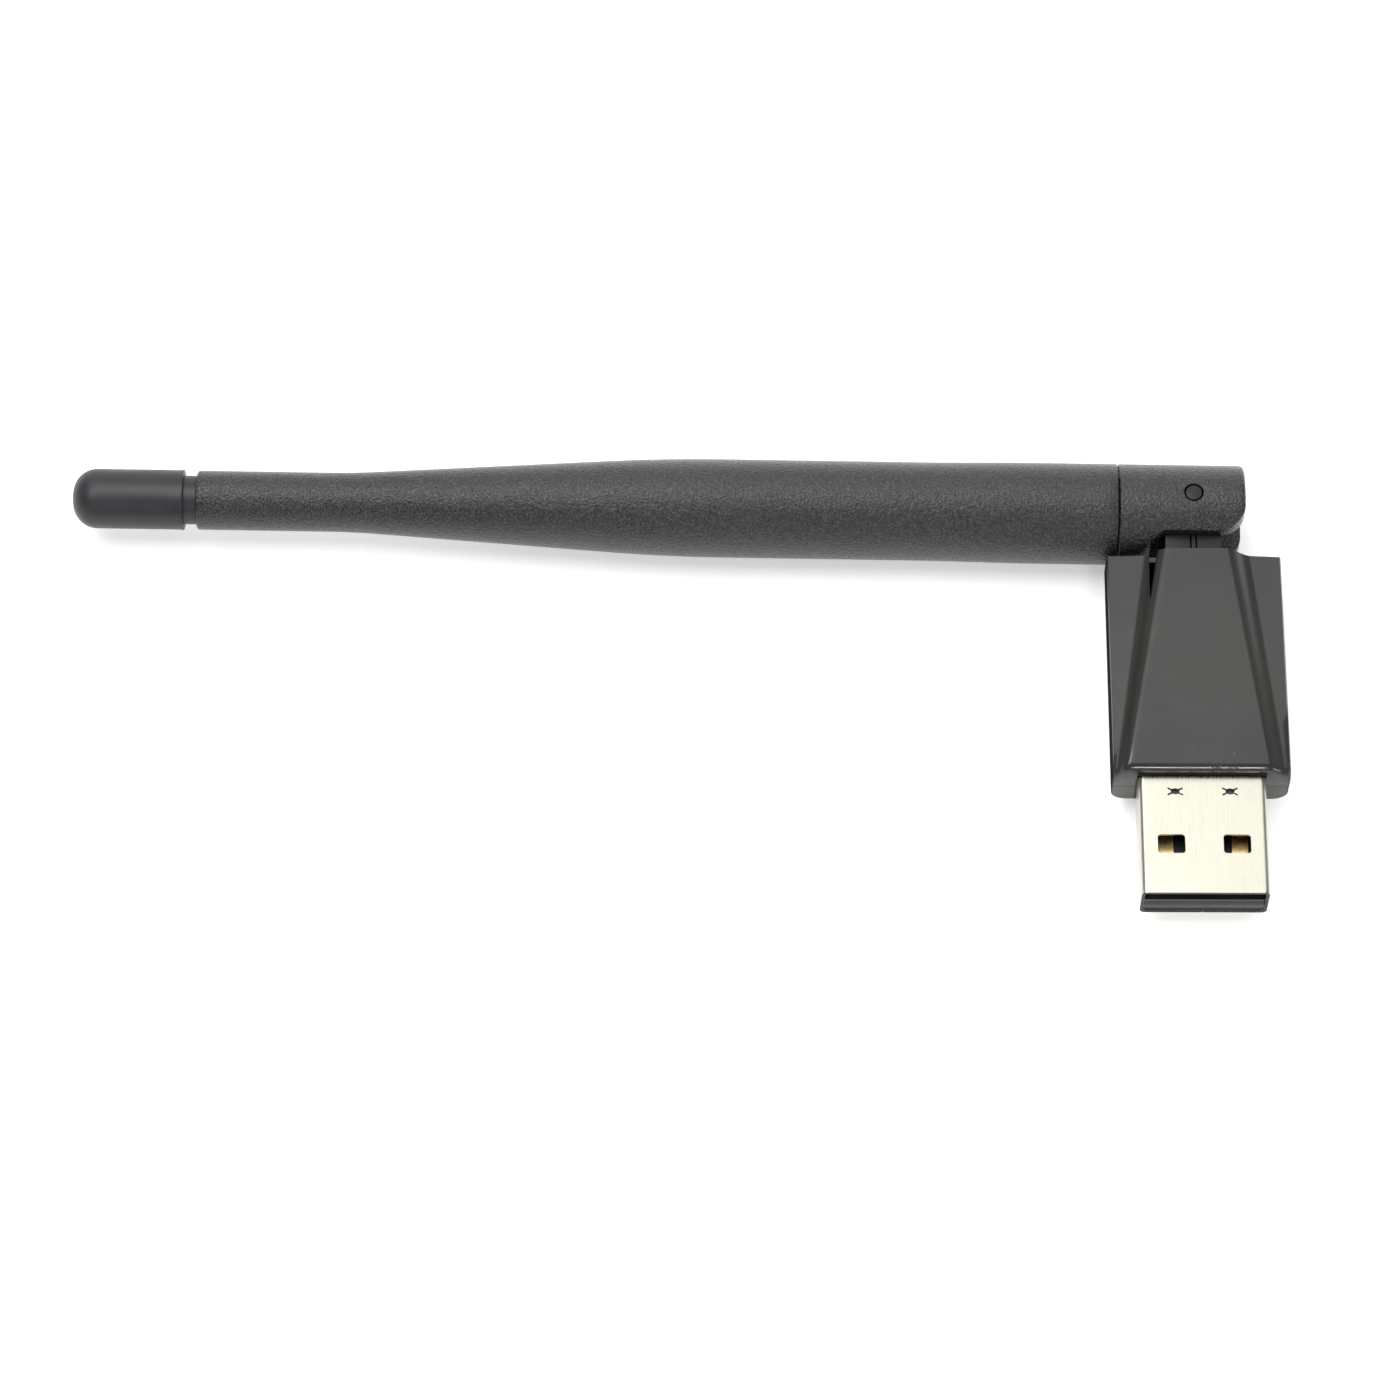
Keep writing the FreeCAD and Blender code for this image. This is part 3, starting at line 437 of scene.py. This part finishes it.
def camera():
    """A long lens above the plug's side, aimed near the adapter's middle."""
    aim = Vector((-0.04715, 0.0089, 0.0))
    distance = 0.5585
    raised = math.radians(63.99)
    turned = math.radians(0.2)
    level = math.cos(raised)
    back = Vector((math.sin(turned) * level, -math.cos(turned) * level, math.sin(raised)))
    lens = bpy.data.cameras.new("product_lens")
    lens.sensor_width = 36
    lens.lens = 151.4
    lens.clip_start = 0.01
    eye = bpy.data.objects.new("product_lens", lens)
    bpy.context.collection.objects.link(eye)
    eye.location = aim + back * distance
    eye.rotation_euler = (-back).to_track_quat("-Z", "Y").to_euler()
    bpy.context.scene.camera = eye


# ------------------------------------------------------------ pieces

def corners(node):
    """A node's lowest and highest corner in millimetres."""
    return [Vector(corner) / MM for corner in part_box(node)]


def ease(along):
    """A soft start and a soft end between 0 and 1."""
    return along * along * (3 - 2 * along)


def move_point(piece, source, target):
    """Moves the vertex at one place, in millimetres, to another."""
    source = Vector(source)
    pick(piece, lambda place: (place - source).length < 0.01)
    shift(*(Vector(target) - source))


def delete_face(piece, centre, reach=0.5):
    """Deletes the face whose centre is within reach of a place."""
    centre = Vector(centre)
    pick(piece, lambda place, normal: (place - centre).length < reach, "FACE")
    bpy.ops.mesh.delete(type="FACE")


def mirror_across(piece):
    """Completes a half piece with its mirror image on the other side."""
    apply_modifier(piece, "MIRROR", use_axis=(True, False, False), use_clip=True,
                   merge_threshold=1e-6)


def shell_out(piece, thickness):
    """Gives an open skin its wall, inwards from the skin."""
    apply_modifier(piece, "SOLIDIFY", thickness=thickness * MM, offset=-1, use_even_offset=True)


HAIRLINE = 0.03         # half the gap between the housing's two halves
PLUG_CLEARANCE = 0.05   # around the plug in its opening
REAR_SIDE = 2.3         # half the width of the opening for the swivel
REAR_RISE = 2.05        # half its height
WALL = 0.5
TUB_WALL = 0.4
NOTCH = 0.2             # the raised middle of the edge over the plug
PANEL_SKEW = 0.35       # how far the panel leans left at the plug
HINGE_SKEW = 0.2        # how far it leans right at the hinge
ROLL = 1.2, 0.9         # the rounding over the plug: its length and its drop


def shell_columns(opening, side, top):
    """The columns of half the upper shell, from its middle outwards: x and z
    at the plug end, then x and z at the hinge end."""
    columns = [(4.3, top, 1.0, top), (4.5, top, 1.6, top), (opening, top, REAR_SIDE, top)]
    # the flank falls from the panel's edge to the wing in a soft curve
    plug_start, plug_run, plug_wing = 6.55, 1.55, 2.8
    hinge_start, hinge_run, hinge_wing = 2.7, 2.6, 2.15
    steps = 9
    for number in range(steps + 1):
        along = number / steps
        columns.append((plug_start + plug_run * along, top - (top - plug_wing) * ease(along),
                        hinge_start + hinge_run * along, top - (top - hinge_wing) * ease(along)))
    columns += [(side - 0.12, 2.7, side - 0.15, 1.95), (side, 2.45, side, 1.6)]
    return columns


def top_shell():
    """The raised panel narrows from the plug to the hinge and rolls softly
    down to two wings, steep at the plug end and level at the hinge."""
    side, length, top = corners("top_shell")[1]
    plug = corners("usb_shell")[1]
    mouth = plug.z + PLUG_CLEARANCE
    columns = shell_columns(plug.x + PLUG_CLEARANCE, side, top)
    # the block starts far wider than the piece, so that each column can be
    # drawn in to its place without meeting another
    spacing = 9
    wide = spacing * len(columns)
    piece = cube("top_half", (-wide, 0, HAIRLINE), (wide, length, top))
    pick(piece, lambda place, normal: place.z < 0.1, "FACE")
    bpy.ops.mesh.delete(type="FACE")
    for number in range(1 - len(columns), len(columns)):
        cut_across((number * spacing, 0, 0), (1, 0, 0))
    level = 1.0
    cut_across((0, 0, level), (0, 0, 1))
    move_point(piece, (0, 0, level), (0, 0, mouth + NOTCH))
    move_point(piece, (0, length, level), (0, length, REAR_RISE))
    over_mouth = 3      # this many columns stand over the openings
    knee = 0.55         # the others bend at this share of their height
    upright = 7         # the panel's lean fades out between here and the side
    for sign in (-1, 1):
        for number, (plug_x, plug_z, hinge_x, hinge_z) in enumerate(columns, start=1):
            x = sign * number * spacing
            skew = PANEL_SKEW * min(1, (side - plug_x) / (side - upright))
            lean = HINGE_SKEW * min(1, (side - hinge_x) / (side - upright))
            plug_level, hinge_level = plug_z * knee, hinge_z * knee
            if number <= over_mouth:
                plug_level, hinge_level = mouth + (NOTCH if number == 1 else 0), REAR_RISE
            ends = ((0, plug_x, plug_z, -skew, plug_level),
                    (length, hinge_x, hinge_z, lean, hinge_level))
            for y, foot, crest, tilt, bend in ends:
                move_point(piece, (x, y, top), (sign * foot + tilt, y, crest))
                move_point(piece, (x, y, level), (sign * foot, y, bend))
                move_point(piece, (x, y, HAIRLINE), (sign * foot, y, HAIRLINE))
    pick(piece, lambda place, normal: abs(normal.y) > 0.9 and place.z < 1.4
         and abs(place.x) < (plug.x if place.y < 1 else REAR_SIDE), "FACE")
    bpy.ops.mesh.delete(type="FACE")
    slices = 9
    for number in range(1, slices):
        cut_across((0, length * number / slices, 0), (0, 1, 0))
    # the long rounding of the edge above the plug
    rolls = []
    for degrees in (15, 30, 45, 60, 75, 90):
        swing = math.radians(degrees)
        rolls.append((ROLL[0] * (1 - math.sin(swing)), ROLL[1] * (1 - math.cos(swing))))
    for y, drop in rolls[:-1]:
        cut_across((0, y, 0), (0, 1, 0))
    inner, over_plug, over_wing = 6.2, 3, 1.45      # what lies above the roll's foot
    for y, drop in rolls:
        pick(piece, lambda place: abs(place.y - y) < 0.01 and abs(place.x) < side + 1
             and place.z > (over_plug if abs(place.x) < inner else over_wing))
        shift(z=-drop)
    close_edit()
    shell_out(piece, WALL)
    bevel(piece, 0.18, 4, 38)
    weld(piece)
    carve(piece, cleft_cutter(length))
    shade(piece, 50)
    finish_piece(piece, FINISHES["housing_gloss"], "housing", "housing_gloss", "top_shell")


def cleft_cutter(length):
    """A thin wedge at the foot of the panel's left side, open to the hinge."""
    half, start, low, high = 0.4, length - 5.0, 1.75, 4.5
    cutter = cube("cleft_cutter", (-half, start, low), (half, length + 0.5, high))
    pick(cutter, lambda place: place.y < start + 1)
    bpy.ops.transform.resize(value=(0.1, 1, 1), center_override=(0, 0, 0))
    turn_all("Z", 5, (0, length, 0))
    shift(x=-3.95)
    close_edit()
    return cutter


def bottom_shell():
    """A plain tub with well-rounded long edges."""
    low, high = corners("bottom_shell")
    side, length, floor = high.x, high.y, low.z
    plug = corners("usb_shell")
    column, level, rounding = 4, -2, 1.5
    piece = cube("bottom_half", (0, 0, floor), (side, length, -HAIRLINE))
    pick(piece, lambda place, normal: place.z > -0.1 or place.x < 0.01, "FACE")
    bpy.ops.mesh.delete(type="FACE")
    cut_across((column, 0, 0), (1, 0, 0))
    cut_across((0, 0, level), (0, 0, 1))
    openings = ((0, plug[1].x + PLUG_CLEARANCE, plug[0].z - PLUG_CLEARANCE),
                (length, REAR_SIDE, -REAR_RISE))
    for y, x, z in openings:
        move_point(piece, (column, y, -HAIRLINE), (x, y, -HAIRLINE))
        move_point(piece, (column, y, level), (x, y, z))
        move_point(piece, (column, y, floor), (x, y, floor))
        move_point(piece, (0, y, level), (0, y, z))
        move_point(piece, (side, y, level), (side, y, floor + rounding + 0.05))
        delete_face(piece, (x / 2, y, (z - HAIRLINE) / 2))
    pick(piece, lambda place, along: abs(along.y) > 0.9 and place.z < floor + 0.1
         and place.x > side - 0.1, "EDGE")
    bpy.ops.mesh.bevel(offset=rounding * MM, segments=8, affect="EDGES")
    close_edit()
    mirror_across(piece)
    shell_out(piece, TUB_WALL)
    bevel(piece, 0.2, 4, 38)
    shade(piece, 50)
    finish_piece(piece, FINISHES["housing_gloss"], "housing", "housing_gloss", "bottom_shell")


def rounded_block(name, low, high, radius):
    """A box whose upright edges are rounded."""
    piece = cube(name, low, high)
    pick(piece, lambda place, along: abs(along.z) > 0.9, "EDGE")
    bpy.ops.mesh.bevel(offset=radius * MM, segments=5, affect="EDGES")
    close_edit()
    return piece


SHEET = 0.3             # the plug's sheet metal
WINDOW = {"x": 3.07, "y": -6.95, "width": 2.55, "depth": 1.9, "corner": 0.3}
CRIMP = {"x": 2.57, "y": -1.56, "radius": 0.42, "oval": 0.72, "reach": 0.5}
CLAW = {"x": 0.52, "y": 0.25, "length": 0.22, "width": 0.07, "turn": -27}
SEAM = {"half": 0.06, "depth": 0.14}


def plug_shell():
    """A folded sheet sleeve: two windows each side, two crimps on top."""
    low, high = corners("usb_shell")
    piece = cube("plug_sleeve", low, high)
    pick(piece, lambda place, along: abs(along.y) > 0.9, "EDGE")
    bpy.ops.mesh.bevel(offset=0.55 * MM, segments=5, affect="EDGES")
    pick(piece, lambda place, normal: abs(normal.y) > 0.9, "FACE")
    bpy.ops.mesh.delete(type="FACE")
    # the mouth draws in a little
    cut_across((0, low.y + 0.45, 0), (0, 1, 0))
    pick(piece, lambda place: place.y < low.y + 0.1)
    bpy.ops.transform.resize(value=(0.992, 1, 0.975), center_override=(0, low.y * MM, 0))
    close_edit()
    shell_out(piece, SHEET)
    half, deep = WINDOW["width"] / 2, WINDOW["depth"] / 2
    for sign in (-1, 1):
        x, y = sign * WINDOW["x"], WINDOW["y"]
        carve(piece, rounded_block("window_punch", (x - half, y - deep, low.z - 1),
                                   (x + half, y + deep, high.z + 1), WINDOW["corner"]))
        carve(piece, crimp_punch(sign * CRIMP["x"], high.z))
    carve(piece, rounded_block("seam_saw", (-SEAM["half"], low.y - 1, low.z - 1),
                               (SEAM["half"], high.y + 1, low.z + SEAM["depth"]), 0.01))
    bevel(piece, 0.05, 2, 40)
    shade(piece, 40)
    finish_piece(piece, FINISHES["plug_nickel"], "housing", "plug_nickel", "usb_shell")


def crimp_punch(x, top):
    """An oval punch with four short claws at its corners."""
    y, low, high = CRIMP["y"], top - CRIMP["reach"], top + CRIMP["reach"]
    punch = cylinder("crimp_punch", CRIMP["radius"], (x, y, low), (x, y, high), "z", 24)
    bpy.ops.mesh.select_all(action="SELECT")
    bpy.ops.transform.resize(value=(1, CRIMP["oval"], 1),
                             center_override=(x * MM, y * MM, top * MM))
    close_edit()
    long, wide = CLAW["length"], CLAW["width"]
    for across in (-1, 1):
        for along in (-1, 1):
            claw_x, claw_y = x + across * CLAW["x"], y + along * CLAW["y"]
            claw = cube("crimp_claw", (claw_x - long, claw_y - wide, low),
                        (claw_x + long, claw_y + wide, high))
            turn_all("Z", across * along * CLAW["turn"], (claw_x, claw_y, top))
            close_edit()
            carve(punch, claw, "UNION")
    return punch


# the aerial is made along -X from the hinge, then swung and set in place
HINGE = Vector((0, 0, 0))
for joint in frame["joints"]:
    if joint["name"] == "antenna_fold":
        HINGE = Vector(joint["pos_m"])
TIP_LOW, TIP_HIGH = (Vector(corner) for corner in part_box("tip_cap"))
SPOKE = (TIP_LOW + TIP_HIGH) / 2 - HINGE
LEAN = math.atan2(SPOKE.y, -SPOKE.x)


def set_along_aerial(piece):
    """Swings a finished piece from the X axis on to the aerial's line."""
    make_active(piece)
    piece.location = HINGE
    piece.rotation_euler = (0, 0, -LEAN)
    bpy.ops.object.transform_apply(location=True, rotation=True, scale=True)


def pull_rings(name, stations, sides=96):
    """A round piece drawn out ring by ring: stations are distances from the
    hinge and radii, in millimetres.  The two ends are closed."""
    deselect()
    first, radius = stations[0]
    bpy.ops.mesh.primitive_circle_add(vertices=sides, radius=radius * MM, fill_type="NGON",
                                      location=(-first * MM, 0, 0), rotation=(0, -math.pi / 2, 0))
    piece = start_piece(name)
    bpy.ops.mesh.select_all(action="SELECT")
    for station, wider in stations[1:]:
        step = ((first - station) * MM, 0, 0)
        bpy.ops.mesh.extrude_region_move(TRANSFORM_OT_translate={"value": step})
        scale = wider / radius
        bpy.ops.transform.resize(value=(1, scale, scale), center_override=(-station * MM, 0, 0))
        first, radius = station, wider
    close_edit()
    return piece


TUBE_RADIUS = 4.87


def tube_radius(station):
    """The tube's outside: thick, easing into a long cone, easing out thin."""
    waist, slope = 4.75, 0.0625
    step_start, step_end = 15, 26
    cone_start, straight, cone_end, thin_start = 45, 56, 78.5, 83
    lead, run, tail = straight - cone_start, cone_end - straight, thin_start - cone_end
    if station < step_start:
        return TUBE_RADIUS
    if station < step_end:
        along = (station - step_start) / (step_end - step_start)
        return TUBE_RADIUS - (TUBE_RADIUS - waist) * ease(along)
    if station < cone_start:
        return waist
    if station < straight:
        return waist - slope * (station - cone_start) ** 2 / (2 * lead)
    if station < cone_end:
        return waist - slope * (lead / 2 + station - straight)
    thin = waist - slope * (lead / 2 + run + tail / 2)
    if station < thin_start:
        return thin + slope * (thin_start - station) ** 2 / (2 * tail)
    return thin


def aerial_tube():
    """The long tube, with a small rounding at each rim and a stepped bore."""
    start, end, count = 7.15, 95.7, 62
    stations = [(start, TUBE_RADIUS - 0.13), (start + 0.04, TUBE_RADIUS - 0.05),
                (start + 0.13, TUBE_RADIUS)]
    for number in range(1, count):
        station = start + (end - start) * number / count
        stations.append((station, tube_radius(station)))
    thin = tube_radius(end)
    stations += [(end - 0.3, thin), (end - 0.09, thin - 0.07), (end, thin - 0.26)]
    # back through the bore
    stations += [(end, 1.78), (84, 1.76), (56, 3.1), (26, 3.5), (start, 3.6)]
    piece = pull_rings("aerial_tube", stations)
    hollow_ends(piece)
    smooth(piece, 35)
    set_along_aerial(piece)
    finish_piece(piece, FINISHES["antenna_grain"], "antenna", "antenna_grain", "antenna_tube")


def hollow_ends(piece):
    """Joins the inner and outer rims of a tube whose rings came back to the
    start, by taking out the two round end faces and bridging the rims."""
    make_active(piece)
    bpy.ops.object.mode_set(mode="EDIT")
    bpy.ops.mesh.select_mode(type="FACE")
    bpy.ops.mesh.select_all(action="DESELECT")
    mesh = bmesh.from_edit_mesh(piece.data)
    for face in mesh.faces:
        face.select = len(face.verts) > 4
    bmesh.update_edit_mesh(piece.data)
    bpy.ops.mesh.delete(type="ONLY_FACE")
    bpy.ops.mesh.select_mode(type="EDGE")
    bpy.ops.mesh.select_all(action="DESELECT")
    bpy.ops.mesh.select_non_manifold()
    bpy.ops.mesh.bridge_edge_loops()
    close_edit()


def tip_cap():
    """A round-nosed cap on a narrower neck, with a spigot inside the tube."""
    inside, neck, rear, tip = 90, 95.72, 96.95, 107.67
    spigot, waist, radius, nose = 1.74, 2.36, 2.88, 2.35
    stations = [(inside, 0.3), (inside, spigot), (neck, spigot), (neck, waist), (rear, waist)]
    # a fine raised lip, then the straight part
    stations += [(rear, radius - 0.04), (rear + 0.03, radius + 0.02),
                 (rear + 0.2, radius + 0.03), (rear + 0.4, radius)]
    stations += [(rear + 3, radius), (rear + 6, radius)]
    steps = 14
    for number in range(steps + 1):
        swing = math.pi / 2 * number / steps
        stations.append((tip - nose + nose * math.sin(swing),
                         radius - nose + nose * math.cos(swing)))
    stations.append((tip, 0.2))
    piece = pull_rings("nose_cap", stations)
    smooth(piece, 35)
    set_along_aerial(piece)
    finish_piece(piece, FINISHES["cap_satin"], "antenna", "cap_satin", "tip_cap")


EAR_END = 5.0           # how far the fork's ears reach past the hinge
REACH = 6               # clear of the fork on every side


def fork():
    """The round fork: two ears, cut flat on the housing's side."""
    radius, seam, edge, steps = TUBE_RADIUS, 7.05, 0.45, 6
    stations = [(-EAR_END, 0.4), (-EAR_END, radius - edge)]
    for number in range(1, steps + 1):
        swing = math.pi / 2 * number / steps
        stations.append((-EAR_END + edge - edge * math.cos(swing),
                         radius - edge + edge * math.sin(swing)))
    # a fine groove at the seam, then the spigot inside the tube
    spigot, spigot_end = 3.58, 13
    stations += [(seam - 0.1, radius), (seam, radius - 0.1), (seam, spigot)]
    stations += [(spigot_end, spigot), (spigot_end, 0.4)]
    piece = pull_rings("fork_body", stations, 128)
    slot, slot_start = 2.5, -4.0
    carve(piece, rounded_block("slot_saw", (slot_start, -REACH, -slot),
                               (EAR_END + 1, REACH, slot), 0.2))
    carve(piece, flat_cutter())
    carve(piece, round_bar("pin_drill", 0.95, (0, 0, -REACH), (0, 0, REACH), "z"))
    carve(piece, round_bar("cable_drill", 1.0, (-14, 0, 0), (-3, 0, 0), "x"))
    bevel(piece, 0.18, 4, 45)
    smooth(piece, 40)
    set_along_aerial(piece)
    finish_piece(piece, FINISHES["antenna_grain"], "antenna", "antenna_grain", "hinge_clevis")


def round_bar(name, radius, low, high, axis):
    """A closed round bar, to cut a hole or to join on."""
    bar = cylinder(name, radius, low, high, axis)
    close_edit()
    return bar


def flat_cutter():
    """Takes the fork's housing side down to a flat that slants back out
    towards the tube and rounds off at the ears' end."""
    flat, corner, beyond = -3.4, 2.5, EAR_END + 1.5
    slant_start, slant_end = -6.9, -2.8
    cutter = cube("flat_cutter", (slant_start, -REACH, -REACH), (beyond, flat, REACH))
    pick(cutter, lambda place: place.x < slant_start + 0.1 and place.y > flat - 0.1)
    shift(x=slant_end - slant_start)
    close_edit()
    x, y = EAR_END - corner, flat + corner
    heel = cube("ear_heel", (x, flat - 0.01, -REACH), (beyond, y, REACH))
    close_edit()
    core = cylinder("ear_round", corner, (x, y, -REACH - 1), (x, y, REACH + 1), "z", 64)
    close_edit()
    carve(heel, core)
    carve(cutter, heel, "UNION")
    return cutter


def knuckle():
    """The swivel: flange and barrel in the housing, tongue in the fork."""
    pin_rise = corners("swivel_knuckle")[1].z
    hinge = HINGE.y / MM
    half, rise, face = 2.68, 2.4, 23.55
    piece = cylinder("swivel_body", half, (0, hinge, -rise), (0, hinge, rise), "z", 96)
    close_edit()
    block = cube("tongue_block", (-half, face, -rise), (half, hinge, rise))
    close_edit()
    carve(piece, block, "UNION")
    bevel(piece, 0.3, 4, 50)
    for name, radius, start, end in (("barrel", 1.5, 21.2, face + 0.5),
                                     ("flange", 1.85, 21.15, 22.15)):
        carve(piece, round_bar(name, radius, (0, start, 0), (0, end, 0), "y"), "UNION")
    lug = cube("stop_lug", (-0.3, 20.6, 1.15), (0.3, 21.5, 1.8))
    close_edit()
    carve(piece, lug, "UNION")
    pins = round_bar("trunnion_pins", 0.77, (0, hinge, -pin_rise), (0, hinge, pin_rise), "z")
    bevel(pins, 0.06, 2, 50)
    carve(piece, pins, "UNION")
    carve(piece, round_bar("cable_drill", 0.75, (0, 20, 0), (0, hinge - 1, 0), "y"))
    # a slot for the cable and two fine slits beside it
    slot, slit = 0.75, 0.08
    carve(piece, rounded_block("slot_saw", (-4, hinge - 2.4, -slot), (4, hinge + 4, slot), 0.2))
    for x in (-0.26, 0.26):
        carve(piece, rounded_block("slit_saw", (x - slit, face + 0.3, -4),
                                   (x + slit, hinge - 1.34, 4), 0.03))
    smooth(piece, 40)
    finish_piece(piece, FINISHES["swivel_plastic"], "swivel", "swivel_plastic", "swivel_knuckle")


# ------------------------------------------------------------ scene

table_top()
studio()
camera()

FINISHES = {
    "housing_gloss": gloss_black(),
    "antenna_grain": grained_black(),
    "cap_satin": satin_black("cap_satin_moulding", (0.02, 0.021, 0.023),
                             (0.026, 0.027, 0.029), 0.34),
    # the swivel's satin is darker and less shiny than the cap's: painted shade for the fork's shadow over it
    "swivel_plastic": satin_black("swivel_satin_painted_shade", (0.014, 0.014, 0.015),
                                  (0.02, 0.02, 0.021), 0.25),
    "plug_nickel": plated_steel(),
    "contact_gold": gilt(),
    "insulator": moulded_insulator(),
    "board_green": plain("solder_mask", (0.02, 0.12, 0.045), (0.035, 0.2, 0.08), 0.3),
    "chip_black": plain("chip_epoxy", (0.018, 0.018, 0.019), (0.03, 0.03, 0.031), 0.55),
    "tinned_metal": plain("tin_plate", (0.6, 0.6, 0.59), (0.78, 0.78, 0.76), 0.3, 1.0),
    "ferrite": plain("ferrite_core", (0.06, 0.06, 0.062), (0.11, 0.11, 0.112), 0.6),
    "ceramic_tan": plain("ceramic_body", (0.36, 0.25, 0.14), (0.5, 0.37, 0.23), 0.45),
    "cable_jacket": plain("cable_jacket", (0.03, 0.03, 0.032), (0.05, 0.05, 0.053), 0.45, 0.0, 900),
    "radiator_brass": plain("drawn_brass", (0.55, 0.38, 0.13), (0.72, 0.52, 0.2), 0.35, 1.0),
    "core_white": plain("core_polymer", (0.74, 0.74, 0.7), (0.86, 0.86, 0.83), 0.4),
    "shrink_black": plain("shrunk_sleeve", (0.014, 0.014, 0.015), (0.025, 0.025, 0.026), 0.6),
}
for part in frame["record"]["subparts"]:
    node = frame["nodes"][part["node"]]
    node.data.materials.clear()
    node.data.materials.append(FINISHES[part["material_slot"]])

top_shell()
bottom_shell()
plug_shell()
aerial_tube()
tip_cap()
fork()
knuckle()
